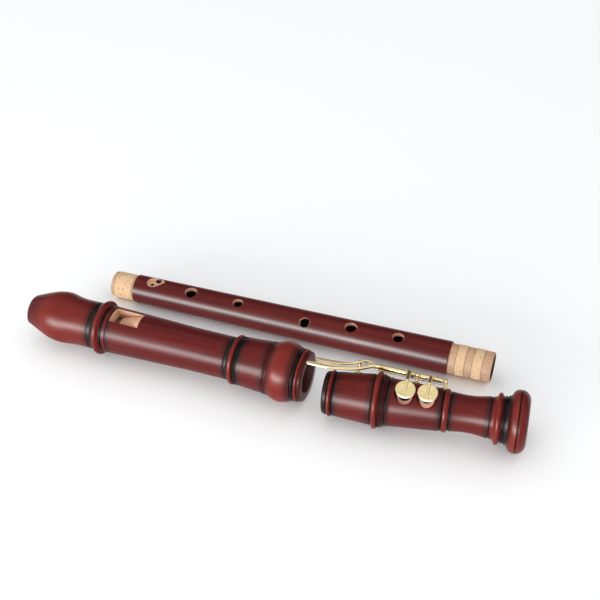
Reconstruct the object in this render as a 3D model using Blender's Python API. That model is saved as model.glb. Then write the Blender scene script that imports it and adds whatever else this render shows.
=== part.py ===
"""A tenor recorder taken apart into its three joints, lying side by side on a flat surface.

The middle joint lies along +X at the back, its foot end towards -X and its finger holes up. In front
of it lie the head joint, beak towards -X and window up, and the foot joint, bell towards +X, with its
double key up. Lengths are metres, +Z is up, and z = 0 is the surface that the three joints rest on.
"""

import math

import bmesh
import bpy
from mathutils import Matrix, Vector

mm = 0.001

# Clearances and how round things are
GAP = 0.3 * mm  # between two pieces that touch on the real instrument
OVERCUT = 2.0 * mm  # how far a cutter reaches past the wall it cuts
WOOD_SIDES = 32  # sides of the big turned pieces
BRASS_SIDES = 16  # sides of tubes, posts and pads
FINE_SIDES = 8  # sides of springs and small holes

# Where the joints lie on the surface
MIDDLE_START = Vector((-138.6 * mm, -5.6 * mm))  # foot shoulder of the middle joint
HEAD_START = Vector((-197.0 * mm, -67.6 * mm))  # tip of the beak
FOOT_SPACE = 15.6 * mm  # along X, from the end of the head joint to the socket end of the foot joint
FOOT_SOCKET_AT = -82.1 * mm  # along Y, the socket end of the foot joint
MIDDLE_ROLL = math.radians(16)  # how far the finger holes lean to the front
HEAD_ROLL = math.radians(5)
FOOT_ROLL = math.radians(20)
MIDDLE_YAW = math.radians(-0.6)
HEAD_YAW = math.radians(-1.6)
FOOT_YAW = math.radians(5.2)

# Head joint
HEAD_LENGTH = 228.4 * mm
HEAD_BORE = 9.9 * mm  # radius
BEAK_TIP_RADIUS = 12.2 * mm
BEAK_CREST_RADIUS = 20.3 * mm
BEAK_WAIST_RADIUS = 18.1 * mm
BEAK_CREST_AT = 26 * mm
HEAD_RING_RADIUS = 21.0 * mm  # the red ring above the window
HEAD_RING_AT = 62.3 * mm
BULGE_TO_END = 18.0 * mm  # from the widest station of the bulge to the end of the head
BEAK_END = 54 * mm
BEAK_TIP_UNDER = -1 * mm  # height of the lower lip at the tip, from the axis
BEAK_HOLLOW_END = 46 * mm  # where the hollow under the beak runs out
BEAK_HOLLOW_RADIUS = 62 * mm
UPPER_BODY_RADIUS = 18.0 * mm
LOWER_BODY_RADIUS = 16.2 * mm
SOCKET_NECK_RADIUS = 18.4 * mm
SOCKET_BULGE_RADIUS = 22.7 * mm
BLOCK_FRONT = 1.5 * mm  # how far the block shows beyond the windway's roof
WINDWAY_WIDTH = 13.6 * mm
WINDWAY_HEIGHT = 1.5 * mm
WINDWAY_END = 73.2 * mm
WINDOW_WIDTH = 14.0 * mm
CUT_UP = 3.8 * mm  # from the windway to the sharp edge
WINDOW_START = 71.7 * mm  # where the window opens at the surface
WINDOW_END = 96.3 * mm  # where the ramp runs out at the surface
LABIUM_RADIUS = 11.2 * mm  # distance of the sharp edge from the axis

# Middle joint
MIDDLE_LENGTH = 262 * mm  # shoulder to shoulder
MIDDLE_FOOT_RADIUS = 11.4 * mm
MIDDLE_HEAD_RADIUS = 12.8 * mm
MIDDLE_FOOT_BORE = 7.6 * mm
MIDDLE_HEAD_BORE = 9.2 * mm
FOOT_TENON_LENGTH = 20 * mm
FOOT_TENON_RADIUS = 10.3 * mm
HEAD_TENON_LENGTH = 32.6 * mm
HEAD_TENON_RADIUS = 11.5 * mm
FOOT_CORK = (2.7 * mm, 18.7 * mm)  # start and end, from the end of the foot tenon
INNER_HEAD_CORK = (5.2 * mm, 12.8 * mm)  # start and end, from the head shoulder
OUTER_HEAD_CORK = (17.8 * mm, 25.8 * mm)
CORK_DEPTH = 1.0 * mm  # depth of the groove that a cork lies in
CORK_PROUD = 0.35 * mm  # how far a cork stands out of its tenon
CORK_FIT = 0.15 * mm  # room between a cork and its socket

# Finger holes of the middle joint: distance from the foot shoulder, lean about the axis, radius
FINGER_HOLES = {
    "sixth_large": (18.6 * mm, -28, 2.3 * mm),
    "sixth_small": (15.4 * mm, 3, 1.4 * mm),
    "fifth": (49.6 * mm, 0, 4.7 * mm),
    "fourth": (90.2 * mm, 2, 3.8 * mm),
    "third": (147.2 * mm, 22, 4.0 * mm),
    "second": (183.8 * mm, 0, 4.5 * mm),
    "first": (221.4 * mm, 0, 4.2 * mm),
    "thumb": (235 * mm, 180, 3.9 * mm),
}
DOUBLE_RECESS_AT = 17.4 * mm
DOUBLE_RECESS_LEAN = -13
DOUBLE_RECESS_LENGTH = 14.5 * mm
DOUBLE_RECESS_WIDTH = 12.4 * mm
DOUBLE_RECESS_DEPTH = 1.5 * mm

# Foot joint
FOOT_LENGTH = 145 * mm
FOOT_BORE = 7.2 * mm
BELL_MOUTH = 9.0 * mm
BELL_MOUTH_DEPTH = 30 * mm
FOOT_SOCKET_RADIUS = 16.2 * mm  # outside
FOOT_SHOULDER_RADIUS = 18.4 * mm
FOOT_RING_RADIUS = 20.7 * mm
FOOT_RING_TO_KEYS = 9.3 * mm  # from the middle of the shoulder ring to the key section
KEY_SECTION_START = 48 * mm
KEY_SECTION_END = 83.5 * mm
KEY_SECTION_RADII = (17.2 * mm, 15.2 * mm)
WAIST_RADIUS = 13.1 * mm
BELL_RADIUS = 22.5 * mm
BELL_TO_END = 7.7 * mm  # from the widest station of the bell to the end of the foot
TONE_HOLES = {"upper": (58.6 * mm, 4.3 * mm), "lower": (74.3 * mm, 3.6 * mm)}
SEAT_HEIGHT = 13.8 * mm  # flat that a pad closes on, from the axis

# Double key: the hinge line runs from post to post, above the back of the foot joint
HINGE_LEAN = math.radians(68.7)  # from the tone holes round to the back
POSTS = {"upper": 22.0 * mm, "middle": 64.2 * mm, "lower": 84.7 * mm}
HINGE_RADII = (24.8 * mm, 20.3 * mm)  # distance from the foot's axis at the first and last post
ROD_RADIUS = 1.0 * mm
TUBE_RADIUS = 1.9 * mm
BALL_RADIUS = 1.9 * mm
POST_STEM_RADIUS = 1.0 * mm
POST_COLLAR_RADIUS = 1.8 * mm
POST_BASE_RADIUS = 2.7 * mm
POST_SPIGOT_RADIUS = 1.1 * mm
POST_SPIGOT_LENGTH = 3.0 * mm
UPPER_TUBE_START = 32.5 * mm
UPPER_LUG = (24 * mm, 44 * mm)  # stretch over which the upper lever is hollowed round its tube
LOWER_TUBE_LUG = 4 * mm
KEY_OPEN = math.radians(10)  # how far a pad swings from its seat to its open rest
PAD_RADIUS = 6.5 * mm
PAD_THICKNESS = 2.6 * mm
CUP_WALL = 0.4 * mm
CUP_RIM = 0.5 * mm
ARM_THICKNESS = 1.0 * mm
ARM_WIDTHS = (4.4 * mm, 1.5 * mm)
LEVER_ROD_RADIUS = 1.0 * mm
TOUCH_LEAN = math.radians(17)  # how a touch leans away from the hinge
SPRING_RADIUS = 0.35 * mm
SPRING_LENGTH = 13 * mm

# What follows from these sizes
CORK_RADIUS_HEAD = HEAD_TENON_RADIUS + CORK_PROUD
CORK_RADIUS_FOOT = FOOT_TENON_RADIUS + CORK_PROUD
HEAD_SOCKET = CORK_RADIUS_HEAD + CORK_FIT
FOOT_SOCKET = CORK_RADIUS_FOOT + CORK_FIT
HEAD_SOCKET_DEPTH = HEAD_TENON_LENGTH + 1 * mm
FOOT_SOCKET_DEPTH = FOOT_TENON_LENGTH + 1 * mm
CUP_RADIUS = PAD_RADIUS + GAP + CUP_WALL
SEAT_RADIUS = CUP_RADIUS + GAP
FOOT_START = Vector((HEAD_START.x + HEAD_LENGTH + FOOT_SPACE, FOOT_SOCKET_AT))
FOOT_RING_AT = KEY_SECTION_START - FOOT_RING_TO_KEYS
BULGE_AT = HEAD_LENGTH - BULGE_TO_END
BELL_AT = FOOT_LENGTH - BELL_TO_END
LABIUM = WINDWAY_END + CUT_UP


def material(name, colour, roughness, metallic=0.0):
    made = bpy.data.materials.new(name)
    made.use_nodes = True
    shader = made.node_tree.nodes["Principled BSDF"]
    shader.inputs["Base Color"].default_value = (*colour, 1)
    shader.inputs["Roughness"].default_value = roughness
    shader.inputs["Metallic"].default_value = metallic
    return made


def add_object(name, bm, parent, look):
    """Makes the bmesh an object under the parent, smooth on its round faces."""
    bmesh.ops.recalc_face_normals(bm, faces=bm.faces)
    mesh = bpy.data.meshes.new(name)
    bm.to_mesh(mesh)
    bm.free()
    mesh.shade_smooth()
    mesh.set_sharp_from_angle(angle=math.radians(35))
    made = bpy.data.objects.new(name, mesh)
    bpy.context.scene.collection.objects.link(made)
    made.parent = parent
    if look:
        mesh.materials.append(look)
    return made


def add_empty(name, parent, matrix):
    made = bpy.data.objects.new(name, None)
    bpy.context.scene.collection.objects.link(made)
    made.parent = parent
    made.matrix_basis = matrix
    return made


def cut(target, cutter, how="DIFFERENCE"):
    """Cuts the target with a hidden helper object."""
    cutter.hide_render = True
    cutter.display_type = "WIRE"
    step = target.modifiers.new(cutter.name, "BOOLEAN")
    step.operation = how
    step.object = cutter
    step.solver = "EXACT"


def turned(outline, sides):
    """A closed outline of (along, radius) points, turned once round the X axis."""
    bm = bmesh.new()
    points = [bm.verts.new((x, 0, r)) for x, r in outline]
    edges = [bm.edges.new((a, b)) for a, b in zip(points, points[1:] + points[:1])]
    bmesh.ops.spin(
        bm, geom=points + edges, cent=(0, 0, 0), axis=(1, 0, 0),
        angle=2 * math.pi, steps=sides, use_merge=True,
    )
    bmesh.ops.remove_doubles(bm, verts=bm.verts, dist=0.001 * mm)
    return bm


def loft(rings):
    """A closed solid through rings of equally many points, with flat ends."""
    bm = bmesh.new()
    rows = [[bm.verts.new(point) for point in ring] for ring in rings]
    for row, following in zip(rows, rows[1:]):
        for i in range(len(row)):
            j = (i + 1) % len(row)
            bm.faces.new((row[i], row[j], following[j], following[i]))
    bm.faces.new(rows[0])
    bm.faces.new(rows[-1])
    return bm


def rod(start, end, radius, sides):
    """A straight round bar between two points."""
    start, end = Vector(start), Vector(end)
    turn = (end - start).to_track_quat("Z", "Y").to_matrix().to_4x4()
    bm = bmesh.new()
    bmesh.ops.create_cone(
        bm, cap_ends=True, segments=sides, radius1=radius, radius2=radius,
        depth=(end - start).length, matrix=Matrix.Translation((start + end) / 2) @ turn,
    )
    return bm


# Outline shapes, each a run of (along, radius) points


def bead(start, end, foot, top, points=5):
    """A half-round bead between two stations."""
    middle, half = (start + end) / 2, (end - start) / 2
    turns = [math.pi * i / (points - 1) for i in range(points)]
    return [(middle - half * math.cos(a), foot + (top - foot) * math.sin(a)) for a in turns]


def groove(start, end, edge, depth):
    """A narrow V groove."""
    return [(start, edge), ((start + end) / 2, edge - depth), (end, edge)]


def hollow(start, end, radii, depth, points=4):
    """A shallow hollow sweep between two radii."""
    run = []
    for i in range(points):
        part = i / (points - 1)
        level = radii[0] + (radii[1] - radii[0]) * part
        run.append((start + (end - start) * part, level - depth * math.sin(math.pi * part)))
    return run


def head_outline():
    upper, lower = UPPER_BODY_RADIUS, LOWER_BODY_RADIUS
    neck, bulge = SOCKET_NECK_RADIUS, SOCKET_BULGE_RADIUS
    tip, crest, waist = BEAK_TIP_RADIUS, BEAK_CREST_RADIUS, BEAK_WAIST_RADIUS
    beak = [
        (0, tip - 0.3 * mm), (0.9 * mm, tip + 0.4 * mm), (2.6 * mm, tip + 1.1 * mm),
        (6 * mm, tip + 2.5 * mm), (11 * mm, tip + 4.5 * mm), (16.4 * mm, crest - 1.7 * mm),
        (21 * mm, crest - 0.5 * mm), (BEAK_CREST_AT, crest), (29.4 * mm, crest - 0.2 * mm),
        (33 * mm, waist + 1.3 * mm), (38 * mm, waist + 0.4 * mm), (44 * mm, waist), (BEAK_END, waist),
    ]
    ring, end = HEAD_RING_AT, HEAD_LENGTH
    rings = (
        groove(54.2 * mm, 55.2 * mm, waist, 0.5 * mm)
        + hollow(55.4 * mm, 59.8 * mm, (waist, waist + 0.7 * mm), 0.7 * mm)
        + bead(ring - 2.1 * mm, ring + 2.1 * mm, waist + 0.6 * mm, HEAD_RING_RADIUS)
        + groove(ring + 2.5 * mm, ring + 3.7 * mm, upper + 0.4 * mm, 0.9 * mm)
        + groove(ring + 4.1 * mm, ring + 5.3 * mm, upper + 0.4 * mm, 0.9 * mm)
        + groove(ring + 7.9 * mm, ring + 8.9 * mm, upper, 0.5 * mm)
    )
    body = [(97 * mm, (upper + lower) / 2 + 0.3 * mm), (end - 91.4 * mm, lower + 0.1 * mm)]
    body += [(end - 64.4 * mm, lower)]
    second_rings = (
        groove(end - 61.8 * mm, end - 60.8 * mm, lower, 0.5 * mm)
        + hollow(end - 60.4 * mm, end - 57.6 * mm, (lower + 0.2 * mm, lower + 0.7 * mm), 0.5 * mm, 3)
        + bead(end - 57.2 * mm, end - 53.8 * mm, neck - 1.0 * mm, neck + 0.5 * mm)
        + groove(end - 53.4 * mm, end - 52.2 * mm, neck - 0.3 * mm, 0.9 * mm)
        + groove(end - 51.6 * mm, end - 49.8 * mm, neck, 0.9 * mm)
    )
    socket_part = (
        [(end - 47.4 * mm, neck + 0.1 * mm), (end - 39.4 * mm, neck + 0.6 * mm)]
        + groove(end - 29.2 * mm, end - 28.0 * mm, neck + 1.4 * mm, 0.6 * mm)
        + groove(end - 27.6 * mm, end - 26.4 * mm, neck + 1.6 * mm, 0.6 * mm)
        + [(end - 24.4 * mm, bulge - 1.8 * mm), (end - 21.4 * mm, bulge - 0.6 * mm), (BULGE_AT, bulge),
           (end - 14.0 * mm, bulge - 0.5 * mm), (end - 10.0 * mm, bulge - 1.9 * mm)]
        + groove(end - 8.0 * mm, end - 6.8 * mm, bulge - 3.0 * mm, 0.9 * mm)
        + [(end - 6.2 * mm, bulge - 2.8 * mm), (end - 5.5 * mm, bulge - 3.5 * mm)]
        + bead(end - 5.1 * mm, end - 2.7 * mm, bulge - 4.2 * mm, bulge - 3.0 * mm)
        + groove(end - 2.4 * mm, end - 1.6 * mm, bulge - 3.8 * mm, 0.5 * mm)
        + [(end - 1.2 * mm, bulge - 3.9 * mm), (end, bulge - 5.2 * mm)]
    )
    socket_start = HEAD_LENGTH - HEAD_SOCKET_DEPTH
    inside = [
        (HEAD_LENGTH, HEAD_SOCKET + 0.6 * mm), (HEAD_LENGTH - 0.6 * mm, HEAD_SOCKET),
        (socket_start, HEAD_SOCKET), (socket_start, HEAD_BORE), (0, HEAD_BORE),
    ]
    return beak + rings + body + second_rings + socket_part + inside


def beak_hollow(name, parent):
    """The round hollow that is cut under the beak."""
    start = Vector((0, BEAK_TIP_UNDER))
    end = Vector((BEAK_HOLLOW_END, -BEAK_CREST_RADIUS))
    chord = end - start
    down = Vector((chord.y, -chord.x)).normalized()
    reach = math.sqrt(BEAK_HOLLOW_RADIUS**2 - (chord.length / 2) ** 2)
    centre = (start + end) / 2 + down * reach
    side = BEAK_CREST_RADIUS + OVERCUT
    bm = rod((centre.x, -side, centre.y), (centre.x, side, centre.y), BEAK_HOLLOW_RADIUS, 72)
    return add_object(name, bm, parent, None)


def sector(start, end, inner, outer, half_angle, steps=6):
    """A curved bar of ring section, standing up round the X axis."""
    turns = [half_angle * (2 * i / steps - 1) for i in range(steps + 1)]
    profile = [(outer * math.sin(a), outer * math.cos(a)) for a in turns]
    profile += [(inner * math.sin(a), inner * math.cos(a)) for a in reversed(turns)]
    return loft([[(x, y, z) for y, z in profile] for x in (start, end)])


def window_cutter(stations):
    """A cutter as wide as the window, with an arched floor at each (along, radius) station."""
    half = WINDOW_WIDTH / 2
    steps = 8
    across = [half * (2 * i / steps - 1) for i in range(steps + 1)]
    top = HEAD_RING_RADIUS + OVERCUT
    rings = []
    for x, radius in stations:
        floor = [(x, y, math.sqrt(max(radius**2 - y**2, 0))) for y in across]
        rings.append(floor + [(x, half, top), (x, -half, top)])
    return loft(rings)


def build_head(parent, wood, cedar):
    head = add_object("head_joint", turned(head_outline(), WOOD_SIDES), parent, wood)
    cut(head, beak_hollow("cut_beak_hollow", parent))
    roof = HEAD_BORE - GAP + WINDWAY_HEIGHT
    half_angle = math.asin(WINDWAY_WIDTH / 2 / roof)
    windway = sector(-OVERCUT, WINDWAY_END + OVERCUT / 2, HEAD_BORE - OVERCUT, roof, half_angle)
    cut(head, add_object("cut_windway", windway, parent, None))
    opening = window_cutter([(WINDWAY_END, HEAD_BORE - OVERCUT), (LABIUM, HEAD_BORE - OVERCUT)])
    cut(head, add_object("cut_window_opening", opening, parent, None))
    top = HEAD_RING_RADIUS
    slant = (top - roof) * (WINDWAY_END - WINDOW_START) / (UPPER_BODY_RADIUS - roof)
    ramp_slope = (UPPER_BODY_RADIUS - LABIUM_RADIUS) / (WINDOW_END - LABIUM)
    far = WINDOW_END + (top - UPPER_BODY_RADIUS) / ramp_slope
    facet = window_cutter([(WINDWAY_END - slant, top), (WINDWAY_END, roof), (LABIUM, roof)])
    cut(head, add_object("cut_window_facet", facet, parent, None))
    ramp = window_cutter([(LABIUM - GAP, LABIUM_RADIUS), (LABIUM, LABIUM_RADIUS), (far, top)])
    cut(head, add_object("cut_ramp", ramp, parent, None))
    block_end = WINDWAY_END + BLOCK_FRONT
    block_radius = HEAD_BORE - GAP
    block_outline = [
        (0, 0), (0, block_radius), (block_end - 0.8 * mm, block_radius),
        (block_end, block_radius - 0.8 * mm), (block_end, 0),
    ]
    block = add_object("windway_block", turned(block_outline, WOOD_SIDES), parent, cedar)
    cut(block, beak_hollow("cut_block_hollow", parent))


def middle_radius(x):
    part = x / MIDDLE_LENGTH
    return MIDDLE_FOOT_RADIUS + (MIDDLE_HEAD_RADIUS - MIDDLE_FOOT_RADIUS) * part


def cork_bands():
    """Start, end and tenon radius of each cork, from the foot end to the head end."""
    foot, head = -FOOT_TENON_LENGTH, MIDDLE_LENGTH
    return {
        "foot_tenon_cork": (foot + FOOT_CORK[0], foot + FOOT_CORK[1], FOOT_TENON_RADIUS),
        "head_tenon_cork_inner": (head + INNER_HEAD_CORK[0], head + INNER_HEAD_CORK[1], HEAD_TENON_RADIUS),
        "head_tenon_cork_outer": (head + OUTER_HEAD_CORK[0], head + OUTER_HEAD_CORK[1], HEAD_TENON_RADIUS),
    }


def middle_outline():
    first, last = -FOOT_TENON_LENGTH, MIDDLE_LENGTH + HEAD_TENON_LENGTH
    outline = [(first, FOOT_TENON_RADIUS - 0.8 * mm), (first + 0.8 * mm, FOOT_TENON_RADIUS)]
    for name, (start, end, radius) in cork_bands().items():
        if name == "head_tenon_cork_inner":
            outline += [
                (0, FOOT_TENON_RADIUS), (0, MIDDLE_FOOT_RADIUS - 0.3 * mm),
                (0.4 * mm, MIDDLE_FOOT_RADIUS), (MIDDLE_LENGTH - 0.6 * mm, MIDDLE_HEAD_RADIUS),
                (MIDDLE_LENGTH, MIDDLE_HEAD_RADIUS - 0.5 * mm), (MIDDLE_LENGTH, HEAD_TENON_RADIUS),
            ]
        floor = radius - CORK_DEPTH
        outline += [(start, radius), (start, floor), (end, floor), (end, radius)]
    outline += [(last - 0.8 * mm, HEAD_TENON_RADIUS), (last, HEAD_TENON_RADIUS - 0.8 * mm)]
    return outline + [(last, MIDDLE_HEAD_BORE), (first, MIDDLE_FOOT_BORE)]


def radial(x, lean, radius):
    """A point at a distance from the axis, leaning by an angle from the top to the front."""
    return Vector((x, -radius * math.sin(lean), radius * math.cos(lean)))


def leaf_recess(parent):
    """The cutter of the leaf-shaped recess round the double hole: blunt at one end, pointed at the other."""
    lean = math.radians(DOUBLE_RECESS_LEAN)
    half = DOUBLE_RECESS_LENGTH / 2
    count = 18
    rim = []
    for i in range(count):
        turn = 2 * math.pi * i / count
        along = half * math.cos(turn)
        # The width falls to nothing at the pointed end, towards the finger holes
        width = DOUBLE_RECESS_WIDTH / 2 * math.sin(turn) * (1 - 0.38 * math.cos(turn))
        slant = 0.22 * along
        rim.append((along, width + slant))
    floor = middle_radius(DOUBLE_RECESS_AT) - DOUBLE_RECESS_DEPTH
    bm = loft([
        [(DOUBLE_RECESS_AT + x * size, y * size, z) for x, y in rim]
        for z, size in ((floor, 0.86), (floor + 6 * mm, 1.25))
    ])
    bm.transform(Matrix.Rotation(lean, 4, "X"))
    return add_object("cut_double_recess", bm, parent, None)


def build_middle(parent, wood, cork):
    middle = add_object("middle_joint", turned(middle_outline(), WOOD_SIDES), parent, wood)
    cut(middle, leaf_recess(parent))
    for name, (x, lean, radius) in FINGER_HOLES.items():
        angle = math.radians(lean)
        deep, out = radial(x, angle, 3 * mm), radial(x, angle, middle_radius(x) + OVERCUT)
        sides = BRASS_SIDES if radius > 3 * mm else FINE_SIDES + 2
        cut(middle, add_object(f"cut_{name}_hole", rod(deep, out, radius, sides), parent, None))
    for name, (start, end, radius) in cork_bands().items():
        inner, outer = radius - CORK_DEPTH + GAP, radius + CORK_PROUD
        start, end = start + GAP, end - GAP
        outline = [
            (start, inner), (start, outer - 0.3 * mm), (start + 0.5 * mm, outer),
            (end - 0.5 * mm, outer), (end, outer - 0.3 * mm), (end, inner),
        ]
        add_object(name, turned(outline, WOOD_SIDES), parent, cork)


def foot_outline():
    lip, shoulder, bell = FOOT_SOCKET_RADIUS, FOOT_SHOULDER_RADIUS, BELL_RADIUS
    start, end = KEY_SECTION_START, KEY_SECTION_END
    top, low = KEY_SECTION_RADII
    waist = WAIST_RADIUS
    bottom = FOOT_LENGTH
    socket_part = (
        [(0, lip - 2.2 * mm), (1.2 * mm, lip - 0.8 * mm), (3.0 * mm, lip - 0.4 * mm)]
        + groove(3.2 * mm, 3.8 * mm, lip - 0.5 * mm, 0.4 * mm)
        + bead(4.0 * mm, 6.5 * mm, lip - 0.6 * mm, lip + 0.6 * mm)
        + groove(6.8 * mm, 7.7 * mm, lip - 0.3 * mm, 0.6 * mm)
        + groove(7.9 * mm, 8.8 * mm, lip - 0.1 * mm, 0.5 * mm)
        + [(9.2 * mm, lip), (22 * mm, lip + 1.0 * mm), (start - 13.4 * mm, shoulder)]
        + groove(start - 12.6 * mm, start - 11.4 * mm, shoulder, 0.6 * mm)
        + bead(FOOT_RING_AT - 1.9 * mm, FOOT_RING_AT + 1.9 * mm, shoulder + 0.2 * mm, FOOT_RING_RADIUS)
        + groove(start - 6.8 * mm, start - 5.6 * mm, shoulder + 1.0 * mm, 0.8 * mm)
        + groove(start - 4.8 * mm, start - 3.6 * mm, shoulder + 0.3 * mm, 0.8 * mm)
        + groove(start - 2.8 * mm, start - 1.4 * mm, shoulder - 0.5 * mm, 0.9 * mm)
    )
    key_section = [(start, top), (end, low)]
    key_section += groove(end + 0.5 * mm, end + 1.7 * mm, low - 0.1 * mm, 0.6 * mm)
    waist_part = (
        bead(end + 2.5 * mm, end + 5.9 * mm, low - 0.8 * mm, low + 0.4 * mm)
        + groove(end + 6.4 * mm, end + 7.6 * mm, waist + 1.2 * mm, 0.8 * mm)
        + hollow(end + 8.1 * mm, bottom - 27.4 * mm, (waist + 1.0 * mm, waist + 1.8 * mm), 1.2 * mm, 7)
        + groove(bottom - 26.8 * mm, bottom - 25.8 * mm, waist + 1.8 * mm, 0.6 * mm)
        + hollow(bottom - 25.4 * mm, bottom - 22.8 * mm, (waist + 1.9 * mm, waist + 2.7 * mm), 0.4 * mm, 3)
        + bead(bottom - 22.4 * mm, bottom - 18.8 * mm, waist + 3.4 * mm, waist + 5.4 * mm)
        + groove(bottom - 18.4 * mm, bottom - 17.2 * mm, waist + 3.6 * mm, 0.8 * mm)
        + groove(bottom - 16.6 * mm, bottom - 15.2 * mm, waist + 4.0 * mm, 0.8 * mm)
        + [(bottom - 14.2 * mm, waist + 4.2 * mm)]
    )
    bell_part = (
        [(bottom - 13.0 * mm, bell - 4.4 * mm), (bottom - 11.6 * mm, bell - 1.8 * mm)]
        + [(bottom - 9.6 * mm, bell - 0.4 * mm), (BELL_AT - 0.3 * mm, bell)]
        + groove(BELL_AT + 0.3 * mm, BELL_AT + 1.1 * mm, bell, 0.5 * mm)
        + [(bottom - 4.8 * mm, bell - 0.3 * mm), (bottom - 2.6 * mm, bell - 1.5 * mm)]
        + [(bottom - 0.8 * mm, bell - 3.6 * mm), (bottom, bell - 6 * mm)]
    )
    inside = [
        (FOOT_LENGTH, BELL_MOUTH + 0.8 * mm), (FOOT_LENGTH - 0.8 * mm, BELL_MOUTH),
        (FOOT_LENGTH - BELL_MOUTH_DEPTH, FOOT_BORE), (FOOT_SOCKET_DEPTH, FOOT_BORE),
        (FOOT_SOCKET_DEPTH, FOOT_SOCKET), (0.6 * mm, FOOT_SOCKET), (0, FOOT_SOCKET + 0.6 * mm),
    ]
    return socket_part + key_section + waist_part + bell_part + inside


def hinge_radius(x):
    """Distance of the hinge line from the foot's axis at a station along the foot."""
    first, last = POSTS["upper"], POSTS["lower"]
    return HINGE_RADII[0] + (HINGE_RADII[1] - HINGE_RADII[0]) * (x - first) / (last - first)


OUTWARD = Vector((0, math.sin(HINGE_LEAN), math.cos(HINGE_LEAN)))
TO_PADS = Vector((0, -math.cos(HINGE_LEAN), math.sin(HINGE_LEAN)))


def by_hinge(x, out=0.0, over=0.0):
    """A point beside the hinge line: out from the wood, and over towards the pads."""
    return Vector((x, 0, 0)) + OUTWARD * (hinge_radius(x) + out) + TO_PADS * over


def hinge_direction():
    return (by_hinge(POSTS["lower"]) - by_hinge(POSTS["upper"])).normalized()


def opened():
    """The turn about the hinge line that lifts a key from its seat to its open rest."""
    at = by_hinge(POSTS["upper"])
    swing = Matrix.Rotation(-KEY_OPEN, 4, hinge_direction())
    return Matrix.Translation(at) @ swing @ Matrix.Translation(-at)


def wood_radius_at_post(name):
    """Outside radius of the foot joint where a post stands."""
    x = POSTS[name]
    if name == "upper":
        return FOOT_SOCKET_RADIUS + 1.0 * mm
    if name == "middle":
        part = (x - KEY_SECTION_START) / (KEY_SECTION_END - KEY_SECTION_START)
        return KEY_SECTION_RADII[0] + (KEY_SECTION_RADII[1] - KEY_SECTION_RADII[0]) * part
    return KEY_SECTION_RADII[1]


def post_ground(name):
    """Height of the small flat that a post's base stands on."""
    return wood_radius_at_post(name) - 0.4 * mm


def build_foot(parent, wood):
    foot = add_object("foot_joint", turned(foot_outline(), WOOD_SIDES), parent, wood)
    for name, (x, radius) in TONE_HOLES.items():
        top = Vector((x, 0, BELL_RADIUS))
        seat = rod((x, 0, SEAT_HEIGHT), top, SEAT_RADIUS, 20)
        cut(foot, add_object(f"cut_{name}_seat", seat, parent, None))
        hole = rod((x, 0, 2 * mm), top, radius, BRASS_SIDES)
        cut(foot, add_object(f"cut_{name}_tone_hole", hole, parent, None))
    for name, x in POSTS.items():
        ground = post_ground(name)
        away = hinge_radius(x) - BALL_RADIUS - GAP
        flat = rod(Vector((x, 0, 0)) + OUTWARD * ground, Vector((x, 0, 0)) + OUTWARD * away,
                   POST_BASE_RADIUS + GAP, BRASS_SIDES)
        cut(foot, add_object(f"cut_{name}_post_flat", flat, parent, None))
        bottom = ground - POST_SPIGOT_LENGTH - GAP
        hole = rod(Vector((x, 0, 0)) + OUTWARD * bottom, Vector((x, 0, 0)) + OUTWARD * away,
                   POST_SPIGOT_RADIUS + GAP, FINE_SIDES + 2)
        cut(foot, add_object(f"cut_{name}_post_hole", hole, parent, None))


def post_outline(height):
    """A turned post from the end of its spigot to the top of its ball, along X with x = 0 at its base."""
    ball = height
    neck = ball - BALL_RADIUS
    outline = [
        (-POST_SPIGOT_LENGTH, 0), (-POST_SPIGOT_LENGTH, POST_SPIGOT_RADIUS),
        (0, POST_SPIGOT_RADIUS), (0, POST_BASE_RADIUS), (0.6 * mm, POST_BASE_RADIUS),
        (1.0 * mm, POST_STEM_RADIUS + 0.3 * mm), (1.4 * mm, POST_STEM_RADIUS),
        (neck - 0.9 * mm, POST_STEM_RADIUS), (neck - 0.6 * mm, POST_COLLAR_RADIUS),
        (neck - 0.1 * mm, POST_COLLAR_RADIUS), (neck + 0.15 * mm, POST_STEM_RADIUS),
    ]
    for turn in (50, 75, 105, 130, 155):
        angle = math.radians(turn)
        outline.append((ball - BALL_RADIUS * math.cos(angle), BALL_RADIUS * math.sin(angle)))
    return outline + [(ball + BALL_RADIUS, 0)]


def build_hinge(parent, brass, steel):
    ends = BALL_RADIUS * 0.8
    start, end = POSTS["upper"] - ends, POSTS["lower"] + ends
    hinge_rod = rod(by_hinge(start), by_hinge(end), ROD_RADIUS, BRASS_SIDES)
    add_object("hinge_rod", hinge_rod, parent, steel)
    for name, x in POSTS.items():
        ground = post_ground(name) + GAP
        bm = turned(post_outline(hinge_radius(x) - ground), BRASS_SIDES)
        place = Vector((x, 0, 0)) + OUTWARD * ground
        bm.transform(Matrix.Translation(place) @ OUTWARD.to_track_quat("X", "Z").to_matrix().to_4x4())
        post = add_object(f"{name}_post", bm, parent, brass)
        reach = BALL_RADIUS + OVERCUT
        bore = rod(by_hinge(x - reach), by_hinge(x + reach), ROD_RADIUS + GAP, BRASS_SIDES)
        cut(post, add_object(f"cut_{name}_post_bore", bore, parent, None))
    under = TUBE_RADIUS + SPRING_RADIUS + 2 * GAP
    for name, post in (("upper", "middle"), ("lower", "lower")):
        near = POSTS[post] - POST_COLLAR_RADIUS - GAP
        far = near - SPRING_LENGTH
        bm = rod(by_hinge(near, -under, 0.4 * mm), by_hinge(far, -under, 0.9 * mm), SPRING_RADIUS, FINE_SIDES)
        add_object(f"{name}_key_spring", bm, parent, steel)


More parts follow.
